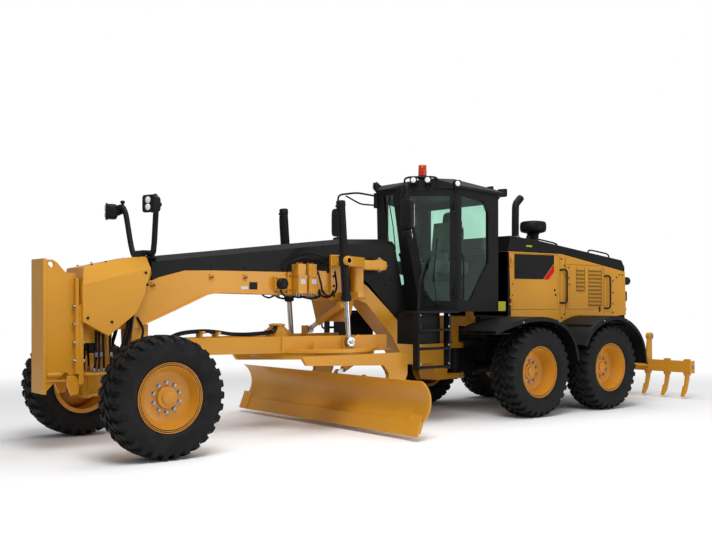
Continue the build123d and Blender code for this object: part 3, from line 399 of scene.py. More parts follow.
def shell(points, loop=False):
    """A closed shell from a grid of points (along, across, 3): quads between neighbours,
    round and round across, and either a loop along or a cap at each end."""
    rows, columns = points.shape[:2]
    near = np.arange(rows if loop else rows - 1)[:, None] * columns
    far = (near + columns) % (rows * columns)
    here = np.arange(columns)[None, :]
    beside = (here + 1) % columns
    quads = np.stack([near + here, far + here, far + beside, near + beside], -1).reshape(-1, 4)
    first = np.arange(columns)
    caps = [] if loop else [first, first[::-1] + (rows - 1) * columns]
    return facing_out(points.reshape(-1, 3), quads, caps)


def facing_out(points, quads, caps):
    """The shell with its faces turned outward: the sum of a . (b x c) / 6 over its
    triangles, its volume, is positive then."""
    corners = points - points.mean(0)
    triangles = [quads[:, :3], quads[:, [0, 2, 3]]]
    for cap in caps:
        triangles.append(np.stack([np.full(len(cap) - 2, cap[0]), cap[1:-1], cap[2:]], -1))
    a, b, c = corners[np.concatenate(triangles)].transpose(1, 0, 2)
    if np.einsum("ij,ij->i", a, np.cross(b, c)).sum() < 0:
        return points, quads[:, ::-1], [cap[::-1] for cap in caps]
    return points, quads, caps


def moved(form, place, turn=np.eye(3)):
    """A shell turned by a matrix and then moved."""
    points, quads, caps = form
    return points @ np.array(turn).T + np.array(place), quads, caps


def turning(axis, degrees):
    """The matrix of a turn about X, Y or Z."""
    angle = math.radians(degrees)
    first, second = [index for index in range(3) if index != "XYZ".index(axis)]
    matrix = np.eye(3)
    matrix[first, first] = matrix[second, second] = math.cos(angle)
    matrix[first, second] = -math.sin(angle)
    matrix[second, first] = math.sin(angle)
    return matrix


def mirrored(form):
    """A shell's mirror image on the machine's other side."""
    points, quads, caps = form
    return points * (1, -1, 1), quads[:, ::-1], [cap[::-1] for cap in caps]


def on_side(side, forms):
    """Left-hand shells for the left side, 1, or their mirror images for the right, -1."""
    return forms if side > 0 else [mirrored(form) for form in forms]


def both(forms):
    """Left-hand shells together with their mirror images."""
    return [*forms, *(mirrored(form) for form in forms)]


def piece(name, body, finish, forms, replaces=(), smooth=35):
    """One object of these shells, in one finish, that rides on a body and may replace nodes."""
    points, faces, start = [], [], 0
    for corners, quads, caps in forms:
        points.append(corners)
        faces += (quads + start).tolist()
        faces += [(cap + start).tolist() for cap in caps]
        start += len(corners)
    mesh = bpy.data.meshes.new(name)
    mesh.from_pydata(np.concatenate(points).tolist(), [], faces)
    mesh.shade_smooth()
    mesh.set_sharp_from_angle(angle=math.radians(smooth))
    mesh.materials.append(finish)
    made = bpy.data.objects.new(name, mesh)
    bpy.context.scene.collection.objects.link(made)
    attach(made, body)
    if replaces:
        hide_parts(*replaces)


def turned(profile, count=48, loop=False):
    """A shell turned about the Y axis: (r cos t, y, r sin t) for each (r, y) of the profile."""
    profile = np.array(profile, float)
    angle = 2 * np.pi * np.arange(count) / count
    radius, height = profile[:, :1], profile[:, 1:]
    points = np.stack([radius * np.cos(angle), height + 0 * angle, radius * np.sin(angle)], -1)
    return shell(points, loop)


def spun(start, end, rows, count=24):
    """A form turned about the line from one place to another: rows of (distance along, radius)."""
    start, end = route(start, end)
    run = (end - start) / np.linalg.norm(end - start)
    side = np.cross(run, np.eye(3)[np.abs(run).argmin()])
    side /= np.linalg.norm(side)
    up = np.cross(run, side)
    angle = (2 * np.pi * np.arange(count) / count)[None, :, None]
    rows = np.array(rows, float)
    ring = np.cos(angle) * side + np.sin(angle) * up
    return shell(start + rows[:, :1, None] * run + rows[:, 1:, None] * ring)


def rod(start, end, radius, count=24, edge=0.2):
    """A straight round bar with chamfered ends."""
    length = math.dist(start, end)
    cut = edge * radius
    rows = [(0, radius - cut), (cut, radius), (length - cut, radius), (length, radius - cut)]
    return spun(start, end, rows, count)


def smoothed(points, steps):
    """A curve through places: each span is the cubic of a Catmull-Rom spline,
    p = (2b + (c-a)t + (2a-5b+4c-d)t^2 + (3b-a-3c+d)t^3) / 2."""
    ends = np.vstack([2 * points[0] - points[1], points, 2 * points[-1] - points[-2]])
    a, b, c, d = (ends[k : k + len(points) - 1, None] for k in range(4))
    t = (np.arange(steps) / steps)[None, :, None]
    spans = (2 * b + (c - a) * t + (2 * a - 5 * b + 4 * c - d) * t**2 + (3 * b - a - 3 * c + d) * t**3) / 2
    return np.vstack([spans.reshape(-1, 3), points[-1:]])


def swept(path, radius, count=12):
    """A tube along a path: p + r (n cos t + m sin t), with n and m square to its run."""
    run = np.gradient(path, axis=0)
    run /= np.linalg.norm(run, axis=1, keepdims=True)
    spare = np.eye(3)[np.abs(run).max(0).argmin()]
    side = np.cross(run, spare)
    side /= np.linalg.norm(side, axis=1, keepdims=True)
    up = np.cross(side, run)
    angle = (2 * np.pi * np.arange(count) / count)[None, :, None]
    across = np.cos(angle) * side[:, None] + np.sin(angle) * up[:, None]
    return shell(path[:, None] + radius * across)


def hose(radius, *points):
    """A hose on a smooth curve through its points."""
    return swept(smoothed(route(*points), 8), radius)


def rail(radius, *points):
    """A bent tube through its corners, each turned in a short curve."""
    corners = route(*points)
    before = corners[1:-1] + 0.25 * (corners[:-2] - corners[1:-1])
    after = corners[1:-1] + 0.25 * (corners[2:] - corners[1:-1])
    t = np.linspace(0, 1, 7)[None, :, None]
    bends = before[:, None] * (1 - t) ** 2 + 2 * corners[1:-1, None] * t * (1 - t) + after[:, None] * t**2
    return swept(np.vstack([corners[:1], bends.reshape(-1, 3), corners[-1:]]), radius)


def power(value, degree):
    """A value raised to a degree with its sign kept."""
    return np.sign(value) * np.abs(value) ** degree


def block(centre, size, edge=0.25, turn=np.eye(3), local=False):
    """A block with rounded edges: the superellipsoid (cos^e u cos^e v, cos^e u sin^e v,
    sin^e u) of an edge e, scaled to its size. A local one keeps its own coordinates."""
    u = np.linspace(-0.498, 0.498, 15)[:, None] * np.pi
    v = 2 * np.pi * (np.arange(40) + 0.5)[None, :] / 40
    points = np.stack(
        [
            power(np.cos(u), edge) * power(np.cos(v), edge),
            power(np.cos(u), edge) * power(np.sin(v), edge),
            power(np.sin(u), edge) + 0 * v,
        ],
        -1,
    )
    place = np.array(centre, float) if local else at(*centre)
    return moved(shell(points * np.array(size) / 2), place, turn)


def plate(outline, axis, low, high, edge=0.004):
    """A flat plate with bevelled rims: its outline, drawn in by the edge at both faces."""
    outline = np.array(outline, float)
    beside = np.roll(outline, -1, 0)
    area = (outline[:, 0] * beside[:, 1] - outline[:, 1] * beside[:, 0]).sum()
    ahead = beside - outline
    ahead /= np.linalg.norm(ahead, axis=1, keepdims=True)
    normal = np.stack([-ahead[:, 1], ahead[:, 0]], -1) * np.sign(area)
    before = np.roll(normal, 1, 0)
    inward = (normal + before) / (1 + np.einsum("ij,ij->i", normal, before))[:, None]
    rows = [(edge, low), (0, low + edge), (0, high - edge), (edge, high)]
    flat = np.stack([outline + inward * inset for inset, _ in rows])
    depth = np.array([place for _, place in rows])[:, None] + 0 * flat[:, :, 0]
    return shell(np.insert(flat, "XYZ".index(axis), depth, axis=2) + (AXLE_X, 0, 0))


def bar(x, y, z, edge=0.004):
    """A flat bar with bevelled rims, from its ranges in X, Y and Z."""
    corners = [(x[0], z[0]), (x[1], z[0]), (x[1], z[1]), (x[0], z[1])]
    return plate(corners, "Y", y[0], y[1], min(edge, 0.4 * (y[1] - y[0]), 0.4 * (z[1] - z[0])))


STANDS = {
    "+Y": np.eye(3),
    "+X": turning("Z", -90),
    "-X": turning("Z", 90),
    "+Z": turning("X", 90),
}


def head(radius, height, sides=6):
    """A bolt head on the Y axis: a washer face, its sides and a crowned top."""
    profile = [(0.001, 0), (1.25 * radius, 0), (1.25 * radius, 0.15 * height), (radius, 0.16 * height),
               (radius, 0.85 * height), (0.72 * radius, height), (0.001, height)]
    return turned(profile, sides)


def bolts(axis, radius, height, *places):
    """Bolt heads that stand out along an axis."""
    return [moved(head(radius, height), at(*place), STANDS[axis]) for place in places]


# Wheels
LUG_PITCHES = 30
BORE_RADIUS = 0.3085
DISC_PLACE = 0.078
NUTS = 10
CARCASS = [(0, 0.569), (0.25, 0.567), (0.42, 0.556), (0.5, 0.538), (0.56, 0.516), (0.66, 0.475),
           (0.78, 0.42), (0.9, 0.37), (1, 0.342)]
WIDTH = [(0, 0.002), (0.25, 0.100), (0.42, 0.165), (0.5, 0.194), (0.56, 0.204), (0.66, 0.2095),
         (0.78, 0.205), (0.9, 0.19), (1, 0.166)]
LUG_TOP = [(0, 0.600), (0.25, 0.598), (0.42, 0.588), (0.51, 0.566), (0.56, 0.532), (0.6, 0.5)]
LUG_ROWS = [
    (0, 0), (0.008, 0), (0.02, 1), (0.205, 1), (0.216, 0), (0.24, 0), (0.25, 1), (0.54, 1), (0.565, 0),
]
LUG_SLANT = [(0, 0), (0.02, -0.02), (0.205, -0.5), (0.25, -0.1), (0.4, -0.3), (0.565, -0.2), (1, -0.2)]
AROUND = [0, 0.035, 0.08, 0.3, 0.53, 0.575, 0.61, 0.72, 0.86]
ACROSS = [0, 0.008, 0.02, 0.06, 0.12, 0.18, 0.205, 0.216, 0.24, 0.25, 0.30, 0.36, 0.42, 0.47, 0.51,
          0.54, 0.565, 0.60, 0.66, 0.72, 0.78, 0.84, 0.9, 0.95, 1]


def table(rows, value):
    """Values read off a short table of (place, value) by straight lines between its rows."""
    places, values = np.array(rows, float).T
    return np.interp(value, places, values)


def tyre_half(side, first):
    """Half of a tyre's outside. A point at angle t and share s across is
    (r cos t, y, r sin t): r rises from the carcass to the lug tops where a lug stands, and each
    lug leans along the wheel with s. Columns follow the lugs, a few to each pitch."""
    share = np.array(ACROSS)[:, None]
    turns = (np.arange(LUG_PITCHES)[:, None] + np.array(AROUND)).reshape(1, -1)
    part = np.tile(AROUND, LUG_PITCHES)[None, :]
    stand = np.interp(part, [0, 0.035, 0.08, 0.53, 0.575, 0.61], [0, 0.5, 1, 1, 0.5, 0])
    stand = stand * table(LUG_ROWS, share)
    base = table(CARCASS, share)
    radius = base + stand * np.maximum(table(LUG_TOP, np.minimum(share, 0.6)) - base, 0)
    fine = np.where((share > 0.66) & (share < 0.92), 0.0016 * np.cos(2 * np.pi * share / 0.06), 0)
    width = table(WIDTH, share) + stand * np.where(share > 0.42, 0.0045, 0) + fine
    angle = 2 * np.pi / LUG_PITCHES * (turns + first + table(LUG_SLANT, share))
    return np.stack([radius * np.cos(angle), side * width + 0 * angle, radius * np.sin(angle)], -1)


def tyre():
    """A whole tyre on the Y axis: both halves of the tread, joined along the middle and at the bore."""
    left = tyre_half(1, 0.0)
    right = tyre_half(-1, 0.5)
    bore = np.stack([right[-1], left[-1]])
    bore[..., [0, 2]] *= BORE_RADIUS / CARCASS[-1][1]
    return shell(np.concatenate([left[::-1], right, bore]), True)


def rim_form(deep, hub):
    """A whole rim as one turned form: the cap, hub and disc, the barrel's cone, the flange and
    its rings, the barrel and the back of the disc. deep draws the disc further in."""
    disc = DISC_PLACE - deep
    cap = disc + 0.0515 - 0.1 * deep
    front = [
        (0.056, cap), (0.064, cap - 0.003), (0.066, cap - 0.013), (0.07, cap - 0.017), (0.1, cap - 0.02),
        (0.105, cap - 0.024), (0.108, disc + 0.002), (0.112, disc), (0.238, disc), (0.25, disc + 0.006),
        (0.256, disc + 0.02), (0.297, 0.16), (0.299, 0.171), (0.306, 0.171), (0.309, 0.158),
        (0.313, 0.158), (0.316, 0.1735), (0.323, 0.172), (0.325, 0.16), (0.329, 0.16), (0.332, 0.1748),
        (0.34, 0.1745), (0.34, 0.16), (BORE_RADIUS, 0.158),
    ]
    back = [
        (BORE_RADIUS, -0.158), (0.34, -0.16), (0.34, -0.175), (0.296, -0.175), (0.294, -0.16),
        (0.294, disc + 0.03), (0.262, disc - 0.01), (0.24, disc - 0.02), (0.115, disc - 0.02), (0.1, hub),
    ]
    return turned([*front, *back], 96)


def wheel_nuts(deep, ring=0.142):
    """The nuts in a ring round the hub."""
    disc = DISC_PLACE - deep
    forms = []
    for index in range(NUTS):
        turn = 2 * math.pi * (index + 0.5) / NUTS
        place = (ring * math.cos(turn), disc, ring * math.sin(turn))
        forms.append(moved(head(0.019, 0.024), place))
    return forms


def wheels():
    """Tyres, rims and nuts of the six wheels, each on its own turning body."""
    for end, deep, hub in (("front", 0.0, -0.07), ("mid", 0.09, -0.14), ("rear", 0.09, -0.14)):
        for side, hand in SIDES:
            body = f"{end}_wheel_{hand}"
            tread, rim, nuts = (
                [moved(form, middle(f"{end}_tyre_{hand}")) for form in on_side(side, forms)]
                for forms in ([tyre()], [rim_form(deep, hub)], wheel_nuts(deep))
            )
            piece(f"{end}_tread_{hand}", body, TYRE, tread, [f"{end}_tyre_{hand}"], 28)
            piece(f"{end}_wheel_rim_{hand}", body, RIM, rim, [f"{end}_rim_{hand}"], 30)
            piece(f"{end}_nuts_{hand}", body, STEEL, nuts)


# Push block, nose and beam
HOOK = [(0.475, 0.66), (0.49, 0.585), (0.56, 0.575), (0.60, 0.667), (0.605, 0.77), (0.50, 0.773)]
BEAM_FOOT = [(-0.2, 1.262), (-0.61, 1.432), (-1.0, 1.6), (-1.15, 1.623), (-1.73, 1.612), (-2.68, 1.6)]
CLIPS = [(-1.05, 1.80), (-1.49, 1.805), (-0.34, 1.70)]
SHROUD_BOLTS = [
    (-1.052, 1.904), (-1.492, 1.915), (-1.999, 1.92), (-2.6, 2.206), (-3.37, 1.80), (-3.603, 1.751),
    (-3.69, 1.809),
]


def front_end():
    """Flanges, clips, bolts and hoses of the push block, the nose and the beam."""
    flanges = [
        bar((0.445, 0.49), (0.15, 0.215), (0.685, 1.49)),
        bar((0.49, 0.525), (0.15, 0.215), (0.79, 1.755)),
        plate(HOOK, "Y", 0.155, 0.185),
        plate([*BEAM_FOOT, *((x, z + 0.017) for x, z in BEAM_FOOT[::-1])], "Y", 0.15, 0.18, 0.003),
        rod((0.66, 0.15, 0.79), (0.8, 0.15, 0.79), 0.023),
        bar((0.165, 0.44), (0.13, 0.24), (0.775, 0.795)),
        bar((0.60, 0.81), (0.10, 0.165), (0.72, 0.735)),
    ]
    for x, z in CLIPS:
        flanges.append(bar((x - 0.028, x + 0.028), (0.153, 0.17), (z - 0.028, z + 0.028)))
        flanges.append(bar((x - 0.02, x + 0.02), (0.153, 0.185), (z + 0.02, z + 0.03), 0.002))
    piece("front_flanges", "front_frame", YELLOW, both(flanges))

    heads = bolts("+X", 0.019, 0.022, *((0.525, 0.185, z) for z in (1.47, 1.29, 1.105, 0.924)))
    heads += bolts("-X", 0.019, 0.022, *((0.445, 0.185, z) for z in (1.105, 0.92)))
    heads += [
        rod((x, 0.2, z), (x, 0.2, z - 0.045), 0.017)
        for x, z in (
            (0.304, 1.0), (0.256, 1.0), (0.148, 1.0), (0.325, 0.84), (0.277, 0.83), (0.224, 0.84),
            (0.148, 0.84),
        )
    ]
    piece("front_bolts", "front_frame", STEEL, both(heads))

    darks = bolts("+Y", 0.013, 0.012, (0.421, 0.265, 1.356), (0.166, 0.265, 1.313), (-0.211, 0.265, 1.826),
                  (-0.228, 0.265, 1.7))
    darks += bolts("+Z", 0.012, 0.01, (0.35, 0.186, 1.897), (0.2, 0.186, 1.93), (-0.16, 0.186, 1.99))
    darks += bolts("+Y", 0.011, 0.014, *((x, 0.154, z) for x, z in SHROUD_BOLTS))
    for x, z in CLIPS:
        darks += bolts("+Y", 0.009, 0.012, (x - 0.013, 0.169, z - 0.004), (x + 0.014, 0.169, z - 0.01))
    piece("front_dark_bolts", "front_frame", BLACK, both(darks))

    lines = []
    for x, low_x in ((0.309, 0.325), (0.277, 0.277), (0.234, 0.224), (0.159, 0.148)):
        lines.append(
            hose(
                0.012, (x, 0.2, 1.23), (x, 0.2, 1.1), (x - 0.005, 0.2, 0.97), (low_x, 0.2, 0.85),
                (low_x, 0.2, 0.785),
            )
        )
    lines += [
        hose(
            0.02, (-0.1, 0.17, 1.38), (-0.07, 0.18, 1.2), (-0.02, 0.18, 1.05), (0.03, 0.18, 0.92),
            (0.05, 0.18, 0.8),
        ),
        hose(
            0.018, (-0.06, 0.19, 1.38), (-0.02, 0.2, 1.2), (0.03, 0.2, 1.05), (0.08, 0.19, 0.95),
            (0.1, 0.18, 0.8),
        ),
        hose(
            0.012, (-0.16, 0.16, 1.36), (-0.215, 0.18, 1.24), (-0.2, 0.18, 1.13), (-0.13, 0.16, 1.04),
            (-0.1, 0.14, 1.0),
        ),
    ]
    piece("front_hoses", "front_frame", HOSE, both(lines))
    label = plate([(-1.44, 1.665), (-1.53, 1.665), (-1.53, 1.7), (-1.44, 1.7)], "Y", 0.1545, 0.157, 0.001)
    piece("beam_label", "front_frame", LABEL, [label])
    dark = plate([(-1.55, 1.665), (-1.66, 1.665), (-1.66, 1.75), (-1.55, 1.75)], "Y", 0.1545, 0.157, 0.001)
    piece("beam_plate", "front_frame", BLACK, [dark])


MOTOR_X = -2.034


def drawbar_lines():
    """Hoses along the drawbar with their clamps, the circle motor and the bolts of the wear pads."""
    path = [(-0.52, -0.01, 1.08), (-0.7, 0.02, 1.165), (-0.95, 0.05, 1.19), (-1.13, 0.06, 1.18),
            (-1.35, 0.06, 1.15), (-1.6, 0.06, 1.145), (-1.9, 0.04, 1.17), (-1.98, 0.0, 1.24)]
    lines = []
    for aside, lift in ((0.0, 0.0), (0.04, 0.012), (0.08, -0.004)):
        lines.append(hose(0.014, *((x, y + aside, z + lift) for x, y, z in path)))
    piece("drawbar_hoses", "drawbar", HOSE, lines)
    clamps = []
    for x, z in ((-0.93, 1.165), (-1.13, 1.155)):
        clamps.append(bar((x - 0.02, x + 0.02), (0.02, 0.21), (z, z + 0.03)))
        clamps.append(bar((x - 0.015, x + 0.015), (0.05, 0.16), (1.11, z + 0.005)))
    motor = [(0, 0.12), (0.02, 0.12), (0.025, 0.09), (0.05, 0.09), (0.055, 0.1), (0.07, 0.1), (0.08, 0.06)]
    clamps.append(spun((MOTOR_X, 0, 1.185), (MOTOR_X, 0, 1.265), motor, 32))
    ear = [
        (-2.715, 0.945), (-2.95, 0.945), (-2.94, 1.06), (-2.9, 1.115), (-2.82, 1.13), (-2.76, 1.1),
        (-2.73, 1.04),
    ]
    clamps += both([
        plate(
            [(-1.9, 0.45), (-2.5, 0.582), (-3.32, 0.6), (-3.32, 0.53), (-2.5, 0.53), (-1.9, 0.38)], "Z",
            0.932, 0.95,
        ),
        plate(ear, "Y", 0.55, 0.585),
        plate([(-2.2, 0.955), (-2.28, 0.955), (-2.2, 1.06)], "Y", 0.5, 0.52),
        bar((-2.72, -2.6), (0.545, 0.575), (0.95, 1.1), 0.006),
    ])
    piece("circle_motor", "drawbar", YELLOW, clamps)
    angles = [math.radians(36 * turn + 18) for turn in range(10)]
    ring = ((MOTOR_X + 0.105 * math.cos(angle), 0.105 * math.sin(angle), 1.203) for angle in angles)
    heads = bolts("+Z", 0.011, 0.014, *ring)
    for x in (-2.3, -2.45, -2.6, -3.0, -3.15, -3.27):
        heads += both(bolts("+Z", 0.013, 0.018, (x, 0.565, 0.95)))
    piece("drawbar_bolts", "drawbar", STEEL, heads)


# Lamps and mirrors
def lamp_head(place, turn, size, lenses, radius=0.034):
    """A work lamp that looks forward: its housing with a bezel, and its round lenses."""
    deep, wide, tall = size
    body = [
        block((0, 0, 0), size, 0.45, local=True),
        block((0.4 * deep, 0, 0), (0.03, wide + 0.012, tall + 0.012), 0.3, local=True),
        block((-0.5 * deep, 0, 0), (0.04, 0.4 * wide, 0.4 * tall), 0.5, local=True),
    ]
    face = 0.4 * deep + 0.013
    glass = []
    for y, z in lenses:
        profile = [(0.001, 0.0), (radius, 0.0), (radius, 0.004), (0.7 * radius, 0.011), (0.001, 0.013)]
        glass.append(moved(turned(profile, 20), (face, y, z), STANDS["+X"]))
    matrix = turning("Z", turn)
    return tuple([moved(form, at(*place), matrix) for form in forms] for forms in (body, glass))


def head_lamps():
    """The two head lamps on posts in front of the beam's shroud."""
    housing, glass = lamp_head(
        (-0.166, 0.505, 2.525), 22, (0.13, 0.15, 0.17), ((0.0, 0.036), (0.0, -0.036)),
    )
    posts = [
        rail(
            0.03, (-0.31, 0.08, 2.04), (-0.305, 0.24, 2.03), (-0.295, 0.29, 2.16), (-0.275, 0.37, 2.5),
            (-0.25, 0.4, 2.58), (-0.2, 0.47, 2.56),
        ),
        spun(
            (-0.26, 0.46, 2.53), (-0.16, 0.51, 2.53),
            [(-0.03, 0.02), (0.0, 0.035), (0.03, 0.05), (0.06, 0.05)], 20,
        ),
        rod((-0.25, 0.4, 2.56), (-0.25, 0.4, 2.63), 0.016),
        spun(
            (-0.25, 0.4, 2.61), (-0.25, 0.4, 2.65),
            [(0, 0.014), (0.008, 0.026), (0.026, 0.026), (0.036, 0.014)], 16,
        ),
    ]
    base = [
        block((-0.31, 0, 2.03), (0.15, 0.3, 0.09), 0.35),
        bar((-0.39, -0.24), (-0.2, 0.2), (1.985, 2.005), 0.006),
    ]
    piece("head_lamps", "front_frame", BLACK, [*both([*posts, *housing]), *base], ["lamps"])
    piece("head_lamp_lenses", "front_frame", LAMP, both(glass))
    heads = bolts("+Z", 0.012, 0.012, (-0.26, 0.17, 2.004), (-0.37, 0.17, 2.004))
    piece("lamp_base_bolts", "front_frame", STEEL, both(heads))


# Place, turn in degrees and size of the work lamps on the left half of the roof
ROOF_LAMPS = (
    ((-3.9, 0.37, 3.095), 45, (0.08, 0.085, 0.085)),
    ((-4.03, 0.5, 3.095), 45, (0.08, 0.085, 0.085)),
    ((-4.3, 0.75, 3.045), 70, (0.08, 0.085, 0.085)),
    ((-5.12, 0.56, 3.06), 180, (0.07, 0.07, 0.07)),
    ((-5.36, 0.56, 3.03), 180, (0.1, 0.11, 0.1)),
)


def roof_gear():
    """Hoops, work lamps and the beacon on the cab's roof."""
    bodies, glass = [], []
    for place, turn, size in ROOF_LAMPS:
        housing, lens_forms = lamp_head(place, turn, size, ((0.0, 0.0),))
        bodies += housing
        glass += lens_forms
    bodies += [
        rail(0.013, (-3.84, 0.26, 2.98), (-3.82, 0.29, 3.14), (-4.12, 0.59, 3.14), (-4.13, 0.56, 2.98)),
        rod((-3.9, 0.37, 3.04), (-3.9, 0.37, 2.98), 0.012),
        rod((-4.03, 0.5, 3.04), (-4.03, 0.5, 2.98), 0.012),
        rod((-4.3, 0.75, 3.02), (-4.3, 0.72, 2.95), 0.014),
        rod((-5.12, 0.56, 3.04), (-5.1, 0.56, 2.9), 0.012),
        rail(0.012, (-5.34, 0.56, 2.99), (-5.28, 0.56, 2.93), (-5.06, 0.56, 2.93)),
    ]
    base = [
        spun(
            (-4.4, 0, 3.08), (-4.4, 0, 3.27),
            [(0, 0.05), (0.11, 0.05), (0.12, 0.07), (0.155, 0.07), (0.165, 0.055), (0.19, 0.05)], 32,
        )
    ]
    piece("roof_gear", "front_frame", BLACK, both(bodies) + base)
    piece("roof_lenses", "front_frame", LAMP, both(glass))
    dome = spun(
        (-4.4, 0, 3.24), (-4.4, 0, 3.39),
        [
            (0, 0.056), (0.03, 0.058), (0.034, 0.052), (0.04, 0.057), (0.085, 0.056), (0.089, 0.051),
            (0.093, 0.055), (0.135, 0.054), (0.143, 0.05), (0.148, 0.03),
        ],
        36,
    )
    piece("beacon", "front_frame", AMBER, [dome])


def mirror_arms():
    """Mirrors on bent tubes from the roof's front corners."""
    frames = [
        block((-3.49, 0.71, 2.605), (0.075, 0.205, 0.38), 0.35),
        block((-3.485, 0.71, 2.36), (0.06, 0.15, 0.09), 0.45),
        rail(0.013, (-3.79, 0.24, 2.94), (-3.6, 0.42, 2.99), (-3.495, 0.70, 2.98), (-3.49, 0.71, 2.75)),
        rail(0.011, (-3.82, 0.26, 2.82), (-3.66, 0.42, 2.84), (-3.55, 0.6, 2.96)),
        rod((-3.49, 0.71, 2.45), (-3.49, 0.71, 2.30), 0.011),
        bar((-3.8, -3.76), (0.2, 0.27), (2.78, 2.98)),
    ]
    piece("mirror_frames", "front_frame", BLACK, both(frames), ["mirrors"])
    faces = [
        block((-3.53, 0.71, 2.605), (0.012, 0.175, 0.34), 0.3),
        block((-3.518, 0.71, 2.36), (0.01, 0.12, 0.07), 0.4),
    ]
    piece("mirror_faces", "front_frame", CHROME, both(faces))


# Valve banks, saddle and lift cylinders
def valve_gear():
    """Two columns of control valves with their spools and labels, a filter drum and their hoses."""
    castings, labels, heads = [], [], []
    for x in (-2.2, -2.36):
        castings += [
            bar((x - 0.064, x + 0.064), (0.15, 0.305), (1.615, 1.825), 0.008),
            bar((x - 0.058, x + 0.058), (0.15, 0.29), (1.835, 1.972), 0.008),
            bar((x - 0.064, x + 0.064), (0.15, 0.31), (1.818, 1.84), 0.003),
        ]
        for dx in (-0.035, 0.0, 0.035):
            castings.append(rod((x + dx, 0.23, 1.965), (x + dx, 0.23, 1.99), 0.014))
        labels.append(
            plate(
                [(x - 0.036, 1.735), (x + 0.03, 1.735), (x + 0.03, 1.79), (x - 0.036, 1.79)], "Y", 0.304,
                0.307, 0.001,
            )
        )
        heads += bolts(
            "+Y", 0.008, 0.01, *((x + dx, 0.303, z) for dx in (-0.048, 0.048) for z in (1.64, 1.808)),
        )
        heads += bolts(
            "+Y", 0.007, 0.009, *((x + dx, 0.289, z) for dx in (-0.04, 0.04) for z in (1.855, 1.93)),
        )
    castings += [
        bar((-2.12, -2.06), (0.15, 0.19), (1.61, 1.88)),
        bar((-2.03, -1.87), (0.15, 0.215), (1.66, 1.82), 0.006),
        bar((-2.62, -2.46), (0.15, 0.21), (1.66, 1.9), 0.006),
    ]
    piece("valve_castings", "front_frame", YELLOW, both(castings), ["valve_banks"])
    piece("valve_labels", "front_frame", LABEL, labels)
    drum = [
        spun(
            (-1.95, 0.2, 1.735), (-1.95, 0.29, 1.735),
            [(0, 0.066), (0.07, 0.066), (0.078, 0.058), (0.082, 0.04), (0.09, 0.036)], 32,
        )
    ]
    drum += bolts(
        "+Y", 0.008, 0.01, (-2.09, 0.19, 1.66), (-2.09, 0.19, 1.83), (-1.89, 0.214, 1.8),
        (-1.89, 0.214, 1.68),
    )
    piece("filter_drum", "front_frame", BLACK, drum)
    piece("valve_bolts", "front_frame", STEEL, both(heads))
    lines = [
        hose(
            0.013, (-2.05, 0.2, 1.88), (-2.07, 0.26, 1.985), (-2.214, 0.28, 2.046), (-2.364, 0.27, 2.038),
            (-2.539, 0.24, 2.0), (-2.66, 0.2, 1.98),
        ),
        hose(
            0.012, (-2.433, 0.28, 1.89), (-2.444, 0.33, 1.75), (-2.46, 0.34, 1.66), (-2.531, 0.33, 1.6),
            (-2.63, 0.32, 1.61), (-2.687, 0.32, 1.7), (-2.709, 0.26, 1.896),
        ),
        hose(
            0.012, (-2.40, 0.26, 1.66), (-2.44, 0.3, 1.62), (-2.52, 0.3, 1.585), (-2.62, 0.28, 1.59),
            (-2.7, 0.24, 1.66),
        ),
        hose(0.011, (-2.16, 0.23, 1.985), (-2.2, 0.24, 2.09), (-2.36, 0.24, 2.11), (-2.56, 0.3, 2.06)),
        hose(
            0.012, (-2.17, 0.24, 1.64), (-2.2, 0.26, 1.59), (-2.33, 0.27, 1.565), (-2.47, 0.25, 1.59),
            (-2.52, 0.2, 1.68),
        ),
        hose(0.011, (-1.95, 0.2, 1.68), (-1.97, 0.22, 1.61), (-2.08, 0.24, 1.575), (-2.19, 0.25, 1.62)),
    ]
    piece("valve_hoses", "front_frame", HOSE, both(lines))
    ends = [
        rod((x, 0.25, 1.63), (x, 0.25, 1.585), 0.016) for x in (-2.14, -2.18, -2.22, -2.32, -2.36, -2.4)
    ]
    piece("valve_fittings", "front_frame", STEEL, both(ends))


def saddle_details():
    """Yoke bosses, bolts and locking plugs of the lift saddle."""
    forms = [
        bar((-2.663, -2.513), (0.43, 0.45), (1.94, 2.085), 0.006),
        block((-3.3, 0.25, 1.985), (0.44, 0.11, 0.125), 0.3),
        bar((-3.15, -3.0), (0.18, 0.29), (1.57, 1.97), 0.02),
        block((-3.07, 0.235, 1.6), (0.22, 0.13, 0.09), 0.3),
        spun(
            (-3.42, 0.25, 1.92), (-3.42, 0.25, 2.06),
            [(0, 0.05), (0.005, 0.056), (0.135, 0.056), (0.14, 0.05)], 24,
        ),
        spun(
            (-2.588, 0.65, 2.01), (-2.588, 0.7, 2.01),
            [(0, 0.055), (0.02, 0.055), (0.025, 0.045), (0.05, 0.042)], 32,
        ),
    ]
    piece("saddle_bosses", "front_frame", YELLOW, both(forms))
    darks = bolts("+Y", 0.013, 0.014, (-3.12, 0.3, 1.985), (-3.12, 0.3, 2.045))
    darks += bolts("+Y", 0.014, 0.014, *((x, 0.195, z) for x in (-2.96, -2.74) for z in (1.6, 1.72, 1.84)))
    darks += bolts("+X", 0.02, 0.012, *((-2.7, y, 1.6) for y in (0.05, 0.12)))
    pins = [
        spun(
            (-3.42, 0.25, 1.9), (-3.42, 0.25, 2.085),
            [(0, 0.02), (0.005, 0.026), (0.18, 0.026), (0.185, 0.02)], 20,
        ),
        spun((-3.5, 0.25, 1.985), (-3.54, 0.25, 1.985), [(0, 0.034), (0.03, 0.034), (0.04, 0.026)], 20),
    ]
    piece("saddle_pins", "front_frame", STEEL, both(pins))
    piece("saddle_bolts", "front_frame", BLACK, both(darks))


LIFT_TOP = np.array((-2.588, 0.6, 2.01))
LIFT_FOOT = np.array((-2.66, 0.6, 1.05))


